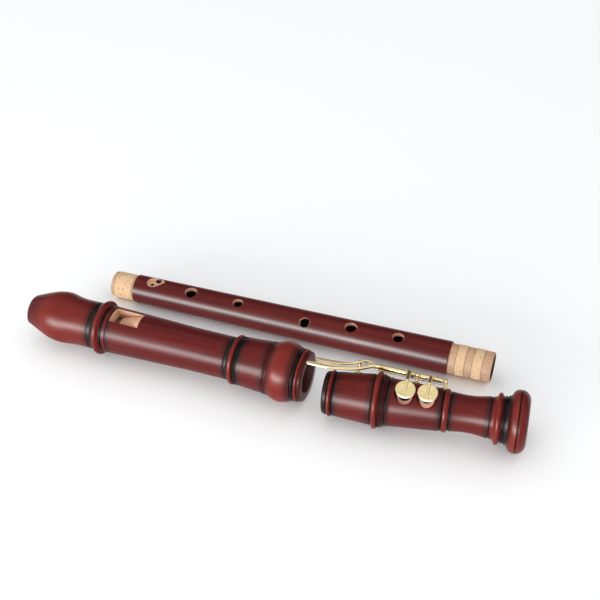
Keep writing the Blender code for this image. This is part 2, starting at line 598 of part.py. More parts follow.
def tube(name, start, end, parent, brass):
    """A hinge tube that turns on the rod."""
    length = (by_hinge(end) - by_hinge(start)).length
    inner = ROD_RADIUS + GAP
    bm = turned([(0, inner), (0, TUBE_RADIUS), (length, TUBE_RADIUS), (length, inner)], BRASS_SIDES)
    turn = hinge_direction().to_track_quat("X", "Z").to_matrix().to_4x4()
    bm.transform(Matrix.Translation(by_hinge(start)) @ turn)
    return add_object(name, bm, parent, brass)


def plate_ring(x, out, over, half_width, half_thickness, lean, corners=12):
    """One rounded cross-section of a touch or a lever, square to the hinge line."""
    ring = []
    for i in range(corners):
        turn = 2 * math.pi * (i + 0.5) / corners
        c, s = math.cos(turn), math.sin(turn)
        across = half_width * math.copysign(abs(c) ** 0.6, c)
        thick = half_thickness * math.copysign(abs(s) ** 0.6, s)
        ring.append(by_hinge(
            x,
            out + thick * math.cos(lean) - across * math.sin(lean),
            over + across * math.cos(lean) + thick * math.sin(lean),
        ))
    return ring


def touch_bar(stations):
    """A touch and its lever: stations of along, out, over, half width, half thickness and lean."""
    return loft([
        plate_ring(x * mm, out * mm, over * mm, width * mm, thick * mm, TOUCH_LEAN * lean)
        for x, out, over, width, thick, lean in stations
    ])


# Along the foot, out from the hinge line, over towards the pads, half width, half thickness, share of lean
UPPER_TOUCH = (
    (-13.8, -9.7, 17.4, 1.6, 0.5, 1), (-13.2, -9.7, 17.4, 2.6, 1.0, 1), (-11.8, -9.7, 17.4, 3.5, 1.3, 1),
    (-9, -9.7, 17.4, 3.9, 1.3, 1), (0, -9.6, 17.4, 3.9, 1.3, 1), (4, -9.3, 17.2, 3.6, 1.3, 1),
    (8, -8.8, 16.4, 2.7, 1.3, 1), (13.5, -7.8, 14.3, 2.1, 1.35, 0.8), (19.5, -6.4, 11.3, 1.9, 1.4, 0.5),
    (25, -4.4, 7.8, 1.9, 1.4, 0.2), (29, -2.3, 4.9, 1.9, 1.4, 0), (33, -0.6, 2.9, 1.9, 1.3, 0),
    (37, 0, 2.4, 1.8, 1.1, 0), (39.5, 0, 2.3, 1.2, 0.8, 0),
)
LOWER_TOUCH = (
    (-9.6, -5.2, 9.0, 1.5, 0.4, 1), (-9.0, -5.2, 9.0, 2.4, 0.7, 1), (-7.6, -5.1, 9.0, 3.2, 0.9, 1),
    (-5, -5.1, 9.0, 3.5, 0.9, 1), (4, -4.8, 9.0, 3.5, 0.9, 1), (8.5, -4.4, 8.9, 3.2, 0.9, 1),
    (12.5, -3.8, 8.3, 2.0, 1.0, 1), (17, -2.7, 7.0, 1.6, 1.0, 0.6), (20.5, -1.2, 5.6, 1.4, 1.0, 0.3),
    (24.2, 0.9, 3.6, 1.3, 0.9, 0), (27, 2.2, 1.3, 1.2, 0.8, 0), (29.2, 2.4, -0.8, 1.1, 0.8, 0),
    (31.4, 1.4, -2.7, 1.0, 0.9, 0), (34, -0.6, -3.4, 0.95, 0.95, 0),
)


def lower_lever():
    """The lower key's touch, and the thin rod that runs behind the upper tube to the lower one."""
    run = LEVER_ROD_RADIUS / mm
    out, over = -1.8, -2.95
    tube_start = (POSTS["middle"] + BALL_RADIUS + GAP) / mm
    stations = list(LOWER_TOUCH)
    stations += [(37, out, over, run, run, 0), (tube_start, out, over, run, run, 0)]
    lug_end = tube_start + LOWER_TUBE_LUG / mm
    stations += [(tube_start + 1, out + 0.3, over + 0.5, run + 0.4, run + 0.4, 0)]
    stations += [(lug_end - 0.6, out + 0.3, over + 0.5, run + 0.4, run + 0.4, 0)]
    stations += [(lug_end, out + 0.3, over + 0.4, run, run, 0)]
    return touch_bar(stations)


def hinge_clearance(name, start, end, parent):
    """A round cutter along the hinge line that keeps a lever's lug off its tube."""
    bm = rod(by_hinge(start), by_hinge(end), TUBE_RADIUS + GAP, BRASS_SIDES + 4)
    return add_object(name, bm, parent, None)


def arm_outline(x):
    """Middle line of a cup arm in Y and Z with the pad closed: over the tube, then down onto the cup."""
    cup_top = SEAT_HEIGHT + 2 * GAP + PAD_THICKNESS + CUP_WALL
    level = cup_top + GAP + ARM_THICKNESS / 2
    hold = TUBE_RADIUS + GAP + ARM_THICKNESS / 2
    start = by_hinge(x, hold * math.cos(math.radians(25)), -hold * math.sin(math.radians(25)))
    top = by_hinge(x, hold, 0)
    side = by_hinge(x, hold * math.cos(math.radians(50)), hold * math.sin(math.radians(50)))
    rise = by_hinge(x, hold * 0.25, hold * 2.0)
    return [
        (start.y, start.z), (top.y, top.z), (side.y, side.z), (rise.y, rise.z),
        (CUP_RADIUS + 4.2 * mm, level - 1.6 * mm), (CUP_RADIUS + 1.2 * mm, level - 0.25 * mm),
        (CUP_RADIUS - 1.0 * mm, level), (0, level), (-CUP_RADIUS * 0.62, level),
    ]


def build_arm(name, x, parent, brass):
    """A strap of falling width along the arm's middle line, square to it."""
    line = [Vector((y, z)) for y, z in arm_outline(x)]
    rings = []
    for i, point in enumerate(line):
        before, after = line[max(i - 1, 0)], line[min(i + 1, len(line) - 1)]
        run = (after - before).normalized()
        normal = Vector((-run.y, run.x)) * ARM_THICKNESS / 2
        width = ARM_WIDTHS[0] + (ARM_WIDTHS[1] - ARM_WIDTHS[0]) * i / (len(line) - 1)
        low, high = point - normal, point + normal
        rings.append([
            (x - width / 2, low.x, low.y), (x + width / 2, low.x, low.y),
            (x + width / 2 * 0.8, high.x, high.y), (x - width / 2 * 0.8, high.x, high.y),
        ])
    bm = loft(rings)
    bm.transform(opened())
    return add_object(name, bm, parent, brass)


def disc(outline, x, base):
    """A piece turned round a line that stands up from a seat."""
    bm = turned(outline, 24)
    bm.transform(Matrix.Translation((x, 0, base)) @ Matrix.Rotation(-math.pi / 2, 4, "Y"))
    bm.transform(opened())
    return bm


def build_cup_and_pad(name, x, parent, brass, leather):
    edge = 0.4 * mm
    pad = [
        (0, 0), (0, PAD_RADIUS - edge), (edge, PAD_RADIUS),
        (PAD_THICKNESS - edge, PAD_RADIUS), (PAD_THICKNESS, PAD_RADIUS - edge), (PAD_THICKNESS, 0),
    ]
    add_object(f"{name}_key_pad", disc(pad, x, SEAT_HEIGHT + GAP), parent, leather)
    under = PAD_THICKNESS + GAP
    top = under + CUP_WALL
    cup = [
        (under, 0), (under, PAD_RADIUS + GAP), (under - CUP_RIM, PAD_RADIUS + GAP),
        (under - CUP_RIM, CUP_RADIUS), (top - 0.3 * mm, CUP_RADIUS), (top, CUP_RADIUS - 0.4 * mm),
        (top, 0),
    ]
    add_object(f"{name}_key_cup", disc(cup, x, SEAT_HEIGHT + GAP), parent, brass)


def build_keys(parent, brass, leather):
    swing = add_empty("upper_key_hinge", parent, Matrix.Identity(4))
    second = add_empty("lower_key_hinge", parent, Matrix.Identity(4))
    upper_end = POSTS["middle"] - BALL_RADIUS - GAP
    lower_start = POSTS["middle"] + BALL_RADIUS + GAP
    lower_end = POSTS["lower"] - BALL_RADIUS - GAP
    touch = add_object("upper_key_touch", touch_bar(UPPER_TOUCH), swing, brass)
    cut(touch, hinge_clearance("cut_upper_lug", *UPPER_LUG, parent))
    tube("upper_key_tube", UPPER_TUBE_START, upper_end, swing, brass)
    lever = add_object("lower_key_touch", lower_lever(), second, brass)
    cut(lever, hinge_clearance("cut_lower_lug", lower_start - 1 * mm, lower_end, parent))
    tube("lower_key_tube", lower_start, lower_end, second, brass)
    for name, holder in (("upper", swing), ("lower", second)):
        x = TONE_HOLES[name][0]
        build_arm(f"{name}_key_arm", x, holder, brass)
        build_cup_and_pad(name, x, holder, brass, leather)


def lying(start, radii, roll, yaw):
    """Places a joint on the surface: radii are the two (along, radius) rings that it rests on."""
    (first, first_radius), (second, second_radius) = radii
    tilt = math.asin((second_radius - first_radius) / (second - first))
    lift = first_radius - first * math.sin(tilt)
    place = Matrix.Translation((start.x, start.y, lift))
    turn = Matrix.Rotation(yaw, 4, "Z") @ Matrix.Rotation(-tilt, 4, "Y") @ Matrix.Rotation(roll, 4, "X")
    return place @ turn


def centre_on_origin(root):
    """Moves everything so that the origin is below the middle of the whole box, on the surface."""
    bpy.context.view_layer.update()
    graph = bpy.context.evaluated_depsgraph_get()
    low, high = Vector((9, 9, 9)), Vector((-9, -9, -9))
    for thing in bpy.data.objects:
        if thing.type != "MESH" or thing.hide_render:
            continue
        shape = thing.evaluated_get(graph)
        for vertex in shape.data.vertices:
            point = shape.matrix_world @ vertex.co
            low = Vector(map(min, low, point))
            high = Vector(map(max, high, point))
    root.location = Vector((-(low.x + high.x) / 2, -(low.y + high.y) / 2, -low.z))
    bpy.context.view_layer.update()
    print("whole size in mm", [round(side / mm, 1) for side in high - low])


def main():
    for thing in list(bpy.data.objects):
        bpy.data.objects.remove(thing, do_unlink=True)
    wood = material("stained_wood", (0.14, 0.018, 0.014), 0.32)
    cedar = material("cedar", (0.46, 0.24, 0.14), 0.6)
    cork = material("cork", (0.72, 0.48, 0.26), 0.8)
    brass = material("brass", (0.85, 0.62, 0.28), 0.22, 1.0)
    steel = material("steel", (0.55, 0.55, 0.56), 0.3, 1.0)
    leather = material("pad_leather", (0.85, 0.82, 0.76), 0.7)
    root = add_empty("recorder", None, Matrix.Identity(4))
    middle = add_empty("middle_place", root, lying(
        MIDDLE_START, ((0, MIDDLE_FOOT_RADIUS), (MIDDLE_LENGTH, MIDDLE_HEAD_RADIUS)), MIDDLE_ROLL, MIDDLE_YAW))
    head = add_empty("head_place", root, lying(
        HEAD_START, ((HEAD_RING_AT, HEAD_RING_RADIUS), (BULGE_AT, SOCKET_BULGE_RADIUS)), HEAD_ROLL, HEAD_YAW))
    foot = add_empty("foot_place", root, lying(
        FOOT_START, ((FOOT_RING_AT, FOOT_RING_RADIUS), (BELL_AT, BELL_RADIUS)), FOOT_ROLL, FOOT_YAW))
    build_middle(middle, wood, cork)
    build_head(head, wood, cedar)
    build_foot(foot, wood)
    build_hinge(foot, brass, steel)
    build_keys(foot, brass, leather)
    centre_on_origin(root)


main()
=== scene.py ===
# %% [markdown]
# # A tenor recorder, taken apart and laid out
#
# This lesson dresses a tenor recorder that lies in its three joints: the middle joint at the back, and
# in front of it the head joint and the foot joint with its double key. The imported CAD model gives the
# frame: where every piece lies, how far it reaches and which pieces move together. Here each piece is
# turned, carved or bent again with finer faces, and gets its finish.

# %% Load the frame
import math

import bmesh
import bpy
from mathutils import Matrix, Vector


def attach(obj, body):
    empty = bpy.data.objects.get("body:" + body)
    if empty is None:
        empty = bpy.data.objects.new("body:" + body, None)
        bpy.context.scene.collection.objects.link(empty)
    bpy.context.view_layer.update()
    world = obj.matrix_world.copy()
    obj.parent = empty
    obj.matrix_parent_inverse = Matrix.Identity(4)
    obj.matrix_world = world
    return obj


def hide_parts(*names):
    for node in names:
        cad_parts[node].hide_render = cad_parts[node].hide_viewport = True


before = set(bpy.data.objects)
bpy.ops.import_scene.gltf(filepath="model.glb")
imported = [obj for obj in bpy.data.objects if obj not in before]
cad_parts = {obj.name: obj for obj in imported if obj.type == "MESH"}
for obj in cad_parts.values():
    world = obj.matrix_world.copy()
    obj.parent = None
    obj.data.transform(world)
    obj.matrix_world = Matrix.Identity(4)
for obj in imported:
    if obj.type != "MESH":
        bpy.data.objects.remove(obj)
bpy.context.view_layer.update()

mm = 0.001
print("nodes:", len(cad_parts))

# %% [markdown]
# ## Where the joints lie
#
# Each joint is made lying along X from its own start, and its place then carries it to where it lies:
# rolled about its length, tilted so that its two widest rings touch the surface, and turned a little to
# the side. One matrix per joint keeps the carved details and the wood grain in line with the joint.

# %% Place the three joints


def lying(start, tilt, roll, yaw):
    """The place of a joint: its start, then its tilt, roll and turn in degrees."""
    turn = Matrix.Rotation(math.radians(yaw), 4, "Z")
    turn = turn @ Matrix.Rotation(math.radians(-tilt), 4, "Y")
    return Matrix.Translation(start) @ turn @ Matrix.Rotation(math.radians(roll), 4, "X")


HEAD_PLACE = lying((-194.772 * mm, -20.883 * mm, 20.265 * mm), 0.65771, 5, -1.6)
MIDDLE_PLACE = lying((-136.372 * mm, 41.117 * mm, 11.380 * mm), 0.30617, 16, -0.6)
FOOT_PLACE = lying((49.228 * mm, -35.383 * mm, 19.974 * mm), 1.04602, 20, 5.2)
for name, place in (("head", HEAD_PLACE), ("middle", MIDDLE_PLACE), ("foot", FOOT_PLACE)):
    print(name, "runs along", [round(v, 4) for v in place.col[0][:3]])

# %% [markdown]
# ## Finishing a piece
#
# A bmesh becomes an object with one call, so that every piece gets the same care: its faces point
# outwards, round faces are smooth, and edges sharper than 32 degrees stay crisp. The place goes into
# the mesh, because a piece's object has to stay at the origin.

# %% Helpers that finish a piece
SHARP = math.radians(32)


def piece_from(bm, name, finish, place=Matrix.Identity(4), sharp=SHARP):
    """Makes the bmesh an object in its place, with its finish."""
    bmesh.ops.recalc_face_normals(bm, faces=bm.faces)
    mesh = bpy.data.meshes.new(name)
    bm.to_mesh(mesh)
    bm.free()
    mesh.transform(place)
    mesh.materials.append(finish)
    mesh.shade_smooth()
    mesh.set_sharp_from_angle(angle=sharp)
    made = bpy.data.objects.new(name, mesh)
    bpy.context.scene.collection.objects.link(made)
    return made


def carve(piece, cutters):
    """Cuts the piece with each cutter in turn. The cut walls keep the cutter's own finish."""
    for cutter in cutters:
        step = piece.modifiers.new(cutter.name, "BOOLEAN")
        step.operation = "DIFFERENCE"
        step.solver = "EXACT"
        step.material_mode = "TRANSFER"
        step.object = cutter
    graph = bpy.context.evaluated_depsgraph_get()
    carved = bpy.data.meshes.new_from_object(piece.evaluated_get(graph), depsgraph=graph)
    piece.modifiers.clear()
    old = piece.data
    piece.data = carved
    carved.name = old.name
    bpy.data.meshes.remove(old)
    for cutter in cutters:
        bpy.data.objects.remove(cutter, do_unlink=True)
    carved.shade_smooth()
    carved.set_sharp_from_angle(angle=SHARP)
    return piece


def finish_bore(piece, bore_radius, finish):
    """Gives every face that lies within the bore its own finish, before the piece is carved."""
    piece.data.materials.append(finish)
    for face in piece.data.polygons:
        if math.hypot(*face.center.yz) < bore_radius:
            face.material_index = len(piece.data.materials) - 1


def put_on(piece, body, node):
    """The piece rides on its body and stands for its CAD node."""
    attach(piece, body)
    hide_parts(node)
    print(piece.name, "has", len(piece.data.polygons), "faces and stands for", node)


# %% [markdown]
# ## Outlines for turning
#
# Almost everything here is turned: the wood on a lathe, the brass posts and cups too. A turned piece
# is an outline of stations (along, radius) that is spun once round its length. The outlines are put
# together from the shapes that a turner cuts: beads, grooves, hollows, straight stretches and long
# smooth sweeps. These shapes take millimetres and give stations in metres.

# %% Outline shapes and the lathe


def in_mm(*stations):
    """Stations given in millimetres, in metres."""
    return [tuple(value * mm for value in station) for station in stations]


def to_mm(*lengths):
    """Lengths given in metres, in millimetres."""
    return [length / mm for length in lengths]


def bead(start, end, foot, top, points=13):
    """A half-round bead."""
    middle, half = (start + end) / 2, (end - start) / 2
    turns = [math.pi * i / (points - 1) for i in range(points)]
    return in_mm(*((middle - half * math.cos(a), foot + (top - foot) * math.sin(a)) for a in turns))


# The section of a groove, as shares of its width and of its depth
GROOVE = ((0, 0), (0.16, 0.55), (0.34, 0.92), (0.5, 1), (0.66, 0.92), (0.84, 0.55), (1, 0))


def groove(start, end, edge, depth):
    """A narrow groove with a rounded bottom."""
    return in_mm(*((start + along * (end - start), edge - down * depth) for along, down in GROOVE))


def hollow(start, end, radii, depth, points=9):
    """A shallow hollow sweep between two radii."""
    run = []
    for i in range(points):
        part = i / (points - 1)
        level = radii[0] + (radii[1] - radii[0]) * part
        run.append((start + (end - start) * part, level - depth * math.sin(math.pi * part)))
    return in_mm(*run)


def smooth(points, steps):
    """A smooth curve through the points, which keeps their slope from one stretch to the next."""
    run = []
    last = len(points) - 1
    for i in range(last):
        a, b, c, d = (Vector(points[min(max(i + k, 0), last)]) for k in (-1, 0, 1, 2))
        for step in range(steps):
            t = step / steps
            curve = b + (c - a) * t / 2 + (a - b * 2.5 + c * 2 - d / 2) * t**2
            run.append(tuple(curve + (b * 1.5 - c * 1.5 + d / 2 - a / 2) * t**3))
    return run + [tuple(points[-1])]


def sweep(stations, steps=5):
    """A long smooth sweep through the stations."""
    return smooth(in_mm(*stations), steps)


def straight(start, end, spacing=4):
    """A straight taper with rings at an even spacing, so that carving it leaves small faces."""
    rounding = 1e-6  # keeps a whole number of spacings whole
    count = max(int((end[0] - start[0]) / spacing + rounding), 1)
    first, last = (Vector(station) for station in in_mm(start, end))
    return [tuple(first.lerp(last, i / count)) for i in range(count + 1)]


def turned(outline, sides=128):
    """Spins a closed outline of (along, radius) stations once round X."""
    bm = bmesh.new()
    stations = [bm.verts.new((x, 0, r)) for x, r in outline]
    edges = [bm.edges.new(pair) for pair in zip(stations, stations[1:] + stations[:1])]
    bmesh.ops.spin(
        bm, geom=stations + edges, cent=(0, 0, 0), axis=(1, 0, 0),
        angle=2 * math.pi, steps=sides, use_merge=True,
    )
    bmesh.ops.remove_doubles(bm, verts=bm.verts, dist=0.001 * mm)
    return bm


def bar(start, end, radius, sides=48):
    """A straight round bar between two points."""
    start, end = Vector(start), Vector(end)
    turn = (end - start).to_track_quat("Z", "Y").to_matrix().to_4x4()
    bm = bmesh.new()
    bmesh.ops.create_cone(
        bm, cap_ends=True, segments=sides, radius1=radius, radius2=radius,
        depth=(end - start).length, matrix=Matrix.Translation((start + end) / 2) @ turn,
    )
    return bm


def swept(sections):
    """Bridges rings of equally many points into one closed body."""
    bm = bmesh.new()
    before = None
    for section in sections:
        corners = [bm.verts.new(point) for point in section]
        ring = [bm.edges.new(pair) for pair in zip(corners, corners[1:] + corners[:1])]
        if before:
            bmesh.ops.bridge_loops(bm, edges=before + ring)
        before = ring
    bmesh.ops.holes_fill(bm, edges=bm.edges, sides=0)
    return bm


# %% [markdown]
# ## Finishes
#
# The wood is a dense one, stained dark red-brown and oiled to a satin shine. Its grain runs along each
# joint, so the finish measures its pattern from the joint's own place. The turner burned or inked the
# grooves and hollows nearly black, and the stain is warmer where end grain drinks more of it, on the
# bulges, the beads and the beak. Those bands are stations along the joint as well, so a ramp on the
# distance along the joint colours them.

# %% Node helpers


def new_finish(name, roughness, metallic=0.0):
    """An empty finish: its node tree and its shader."""
    made = bpy.data.materials.new(name)
    made.use_nodes = True
    shader = made.node_tree.nodes["Principled BSDF"]
    shader.inputs["Roughness"].default_value = roughness
    shader.inputs["Metallic"].default_value = metallic
    return made, made.node_tree, shader


def own_coordinates(tree, place):
    """Positions measured from a piece's own place, in metres along its own X, Y and Z."""
    coordinates = tree.nodes.new("ShaderNodeTexCoord")
    mapping = tree.nodes.new("ShaderNodeMapping")
    mapping.vector_type = "TEXTURE"
    mapping.inputs["Location"].default_value = place.to_translation()
    mapping.inputs["Rotation"].default_value = place.to_euler()
    tree.links.new(coordinates.outputs["Object"], mapping.inputs["Vector"])
    return mapping.outputs["Vector"]


def stretched(tree, vector, scale):
    """The same positions, scaled along each axis."""
    mapping = tree.nodes.new("ShaderNodeMapping")
    mapping.inputs["Scale"].default_value = scale
    tree.links.new(vector, mapping.inputs["Vector"])
    return mapping.outputs["Vector"]


def noise(tree, vector, scale, detail=3.0, roughness=0.5):
    made = tree.nodes.new("ShaderNodeTexNoise")
    made.inputs["Scale"].default_value = scale
    made.inputs["Detail"].default_value = detail
    made.inputs["Roughness"].default_value = roughness
    tree.links.new(vector, made.inputs["Vector"])
    return made.outputs["Fac"]


def ramp(tree, value, stops, interpolation="LINEAR"):
    """Colours by value. Each stop is a position and a grey level or a colour."""
    made = tree.nodes.new("ShaderNodeValToRGB")
    made.color_ramp.interpolation = interpolation
    elements = made.color_ramp.elements
    while len(elements) < len(stops):
        elements.new(0.5)
    for element, (position, colour) in zip(elements, sorted(stops, key=lambda stop: stop[0])):
        element.position = position
        if isinstance(colour, (int, float)):
            colour = (colour, colour, colour)
        element.color = (*colour, 1)
    tree.links.new(value, made.inputs["Fac"])
    return made.outputs["Color"]


def rising(tree, value, low, high):
    """From black at the low value to white at the high one."""
    return ramp(tree, value, [(low, 0.0), (high, 1.0)])


def mix(tree, share, first, second, how="MIX"):
    """Mixes two colours. Each is a socket or a colour, and the share a socket or a number."""
    made = tree.nodes.new("ShaderNodeMix")
    made.data_type = "RGBA"
    made.blend_type = how
    for socket, value in ((made.inputs[0], share), (made.inputs[6], first), (made.inputs[7], second)):
        if isinstance(value, bpy.types.NodeSocket):
            tree.links.new(value, socket)
        elif isinstance(value, tuple):
            socket.default_value = (*value, 1)
        else:
            socket.default_value = value
    return made.outputs[2]


def arithmetic(tree, how, *values):
    made = tree.nodes.new("ShaderNodeMath")
    made.operation = how
    for socket, value in zip(made.inputs, values):
        if isinstance(value, bpy.types.NodeSocket):
            tree.links.new(value, socket)
        else:
            socket.default_value = value
    return made.outputs[0]


def remap(tree, value, low, high, to_low, to_high):
    made = tree.nodes.new("ShaderNodeMapRange")
    for name, number in (("From Min", low), ("From Max", high), ("To Min", to_low), ("To Max", to_high)):
        made.inputs[name].default_value = number
    tree.links.new(value, made.inputs["Value"])
    return made.outputs["Result"]


def bump(tree, shader, height, distance, strength=1.0):
    """Fine relief from a height of 0 to 1, this many metres deep."""
    made = tree.nodes.new("ShaderNodeBump")
    made.inputs["Distance"].default_value = distance
    made.inputs["Strength"].default_value = strength
    tree.links.new(height, made.inputs["Height"])
    tree.links.new(made.outputs["Normal"], shader.inputs["Normal"])


# %% [markdown]
# ### Stained wood
#
# The stain colour varies in long thin streaks, with short dark pores between them. Three ramps along the
# joint add the warmer red of the bulges and beads, darker wood on both sides of each zone of rings, and
# the black bands in those zones.

# %% Stained wood, one finish per joint
STAIN = (0.096, 0.0060, 0.0058)
STAIN_DEEP = (0.046, 0.0028, 0.0030)
STAIN_WARM = (0.170, 0.0170, 0.0100)
INK = (0.006, 0.0040, 0.0040)
INK_SHARE = 0.97
RING_SIDE_SHARE = 0.75
RING_SIDE_REACH = 4.5 * mm
RING_SIDE_STEP = 0.02 * mm  # how sharply the darker wood ends at the zone of rings


def ring_side_stops(zones, length):
    """Ramp stops that darken the wood before and after each zone of rings."""
    stops = [(0.0, 0.0)]
    for start, end in zones:
        if start > RING_SIDE_REACH:
            stops += [(start - RING_SIDE_REACH, 0.0), (start, 1.0), (start + RING_SIDE_STEP, 0.0)]
        if end < length - RING_SIDE_REACH:
            stops += [(end - RING_SIDE_STEP, 0.0), (end, 1.0), (end + RING_SIDE_REACH, 0.0)]
    return [(station / length, share) for station, share in stops]


def stained_wood(name, place, length, dark_bands, zones, warmth, seed):
    """Stained wood with dark bands (start, end), zones of rings, and a run of warmth (station, share)."""
    made, tree, shader = new_finish(name, 0.34)
    own = own_coordinates(tree, place)
    moved = stretched(tree, own, (1, 1, 1))
    moved.node.inputs["Location"].default_value = (seed, seed, 0)
    streaks = noise(tree, stretched(tree, moved, (14, 420, 420)), 1.0, 4.0, 0.62)
    clouds = noise(tree, stretched(tree, moved, (16, 60, 60)), 1.0, 2.0)
    pores = noise(tree, stretched(tree, moved, (260, 2600, 2600)), 1.0, 2.0, 0.6)
    separate = tree.nodes.new("ShaderNodeSeparateXYZ")
    tree.links.new(own, separate.inputs[0])
    along = arithmetic(tree, "DIVIDE", separate.outputs["X"], length)
    warm = ramp(tree, along, [(station / length, share) for station, share in warmth])
    warm = mix(tree, 0.35, warm, rising(tree, clouds, 0.35, 0.65), "MULTIPLY")
    colour = mix(tree, rising(tree, streaks, 0.32, 0.68), STAIN_DEEP, STAIN)
    colour = mix(tree, warm, colour, STAIN_WARM)
    pore_mask = ramp(tree, pores, [(0.60, 0.0), (0.72, 0.75)])
    colour = mix(tree, pore_mask, colour, STAIN_DEEP)
    stops = [(0.0, 0.0)]
    for start, end in dark_bands:
        stops += [(start / length, 1.0), (end / length, 0.0)]
    ink = ramp(tree, along, stops, "CONSTANT")
    # The wood is darker on both sides of each zone of rings, fading out away from it.
    if zones:
        ring_sides = ramp(tree, along, ring_side_stops(zones, length))
        colour = mix(tree, arithmetic(tree, "MULTIPLY", ring_sides, RING_SIDE_SHARE), colour, INK)
    colour = mix(tree, arithmetic(tree, "MULTIPLY", ink, INK_SHARE), colour, INK)
    tree.links.new(colour, shader.inputs["Base Color"])
    shine = remap(tree, streaks, 0.3, 0.7, 0.29, 0.36)
    tree.links.new(shine, shader.inputs["Roughness"])
    shader.inputs["Specular IOR Level"].default_value = 0.16
    bump(tree, shader, mix(tree, 0.5, streaks, pores), 0.03 * mm, 0.5)
    return made


HEAD_LENGTH = 228.4 * mm
FOOT_LENGTH = 145 * mm
MIDDLE_LENGTH = 262 * mm
FOOT_TENON_LENGTH = 20 * mm
HEAD_TENON_LENGTH = 32.6 * mm


def warm_run(*pairs):
    """Stations in millimetres and shares of warmth."""
    return [(station * mm, share) for station, share in pairs]


HEAD_WOOD = stained_wood(
    "stained_wood_head", HEAD_PLACE, HEAD_LENGTH,
    in_mm((54.2, 60.1), (64.6, 67.7), (70.2, 71.2), (166.6, 170.9), (174.8, 178.7), (199.2, 200.3),
          (200.9, 202.0), (219.9, 223.1), (225.9, 227.0), (227.7, 228.4)),
    in_mm((54.2, 71.2), (166.6, 178.7), (199.2, 202.0), (219.9, 228.4)),
    warm_run((0, 0), (8, 0.1), (16, 0.75), (40, 0.6), (54, 0.45), (61, 0.7), (64, 0.7), (68, 0.1),
             (160, 0.1), (171.5, 0.7), (174.5, 0.7), (180, 0.1), (200, 0.15), (206, 0.95), (216, 0.95),
             (220, 0.3), (223, 0.8), (226, 0.7), (227.5, 0)), 0.0)
FOOT_WOOD = stained_wood(
    "stained_wood_foot", FOOT_PLACE, FOOT_LENGTH,
    in_mm((0, 3.9), (6.6, 8.9), (35.3, 36.7), (40.8, 42.5), (43.1, 44.5), (45.1, 46.7), (83.9, 85.6),
          (89.7, 91.3), (118.1, 119.4), (126.4, 131.6), (137.5, 138.5)),
    in_mm((0, 8.9), (35.3, 46.7), (83.9, 91.3), (118.1, 131.6)),
    warm_run((0, 0.1), (4, 0.7), (6.4, 0.7), (9, 0.15), (34, 0.2), (37, 0.75), (40.6, 0.75), (47, 0.15),
             (82, 0.15), (86, 0.75), (89.5, 0.75), (92, 0.2), (118, 0.25), (122.6, 0.8), (126, 0.8),
             (132, 0.95), (137, 1.0), (140, 0.5), (145, 0.2)), 3.1)
MIDDLE_WOOD = stained_wood(
    "stained_wood_middle", MIDDLE_PLACE, MIDDLE_LENGTH,
    [], [], warm_run((0, 0.12), (60, 0.15), (150, 0.2), (262, 0.12)), 6.3)

# %% [markdown]
# ### Bare wood, cork, brass, steel and leather
#
# Where the wood was cut after staining, in the window, the finger holes and the tenons, it shows pale
# and pinkish with soft grain. Cork is a cream ground full of small dark dots. The keys are polished
# brass with faint wiping marks, the hinge rod is steel, and the pads are white leather.

# %% The other finishes


def bare_wood(name, place, colour, deeper, grain=(30, 900, 900)):
    made, tree, shader = new_finish(name, 0.62)
    shader.inputs["Specular IOR Level"].default_value = 0.2
    own = own_coordinates(tree, place)
    streaks = noise(tree, stretched(tree, own, grain), 1.0, 4.0, 0.6)
    pores = noise(tree, stretched(tree, own, (300, 3000, 3000)), 1.0, 2.0, 0.6)
    shade = mix(tree, rising(tree, streaks, 0.35, 0.65), deeper, colour)
    shade = mix(tree, ramp(tree, pores, [(0.58, 0.0), (0.74, 0.6)]), shade, deeper)
    tree.links.new(shade, shader.inputs["Base Color"])
    bump(tree, shader, mix(tree, 0.5, streaks, pores), 0.05 * mm, 0.6)
    return made


def cork_bark(name, place):
    made, tree, shader = new_finish(name, 0.78)
    own = own_coordinates(tree, place)
    grains = noise(tree, own, 900.0, 3.0, 0.6)
    ground = mix(tree, rising(tree, grains, 0.35, 0.65), (0.50, 0.32, 0.18), (0.64, 0.44, 0.26))
    dots = tree.nodes.new("ShaderNodeTexVoronoi")
    dots.inputs["Scale"].default_value = 480.0
    tree.links.new(own, dots.inputs["Vector"])
    speck = ramp(tree, dots.outputs["Distance"], [(0.19, 1.0), (0.27, 0.0)])
    patches = rising(tree, noise(tree, own, 260.0, 2.0), 0.50, 0.56)
    speck = arithmetic(tree, "MULTIPLY", speck, patches)
    tree.links.new(mix(tree, speck, ground, (0.10, 0.045, 0.02)), shader.inputs["Base Color"])
    bump(tree, shader, arithmetic(tree, "SUBTRACT", grains, speck), 0.08 * mm, 0.5)
    return made


BRASS_PALE = (0.93, 0.76, 0.42)
BRASS_DEEP = (0.87, 0.67, 0.33)


def polished_brass(name, place, wiping=(60, 500, 500)):
    made, tree, shader = new_finish(name, 0.18, 1.0)
    own = own_coordinates(tree, place)
    clouds = noise(tree, own, 130.0, 3.0)
    marks = noise(tree, stretched(tree, own, wiping), 1.0, 4.0, 0.65)
    colour = mix(tree, rising(tree, clouds, 0.35, 0.7), BRASS_PALE, BRASS_DEEP)
    tree.links.new(colour, shader.inputs["Base Color"])
    tree.links.new(remap(tree, marks, 0.3, 0.7, 0.16, 0.23), shader.inputs["Roughness"])
    bump(tree, shader, marks, 0.003 * mm, 0.15)
    return made


def ground_steel(name, place):
    made, tree, shader = new_finish(name, 0.3, 1.0)
    own = own_coordinates(tree, place)
    marks = noise(tree, stretched(tree, own, (3000, 300, 300)), 1.0, 2.0)
    tree.links.new(mix(tree, marks, (0.45, 0.45, 0.46), (0.66, 0.66, 0.66)), shader.inputs["Base Color"])
    tree.links.new(remap(tree, marks, 0.3, 0.7, 0.22, 0.36), shader.inputs["Roughness"])
    return made


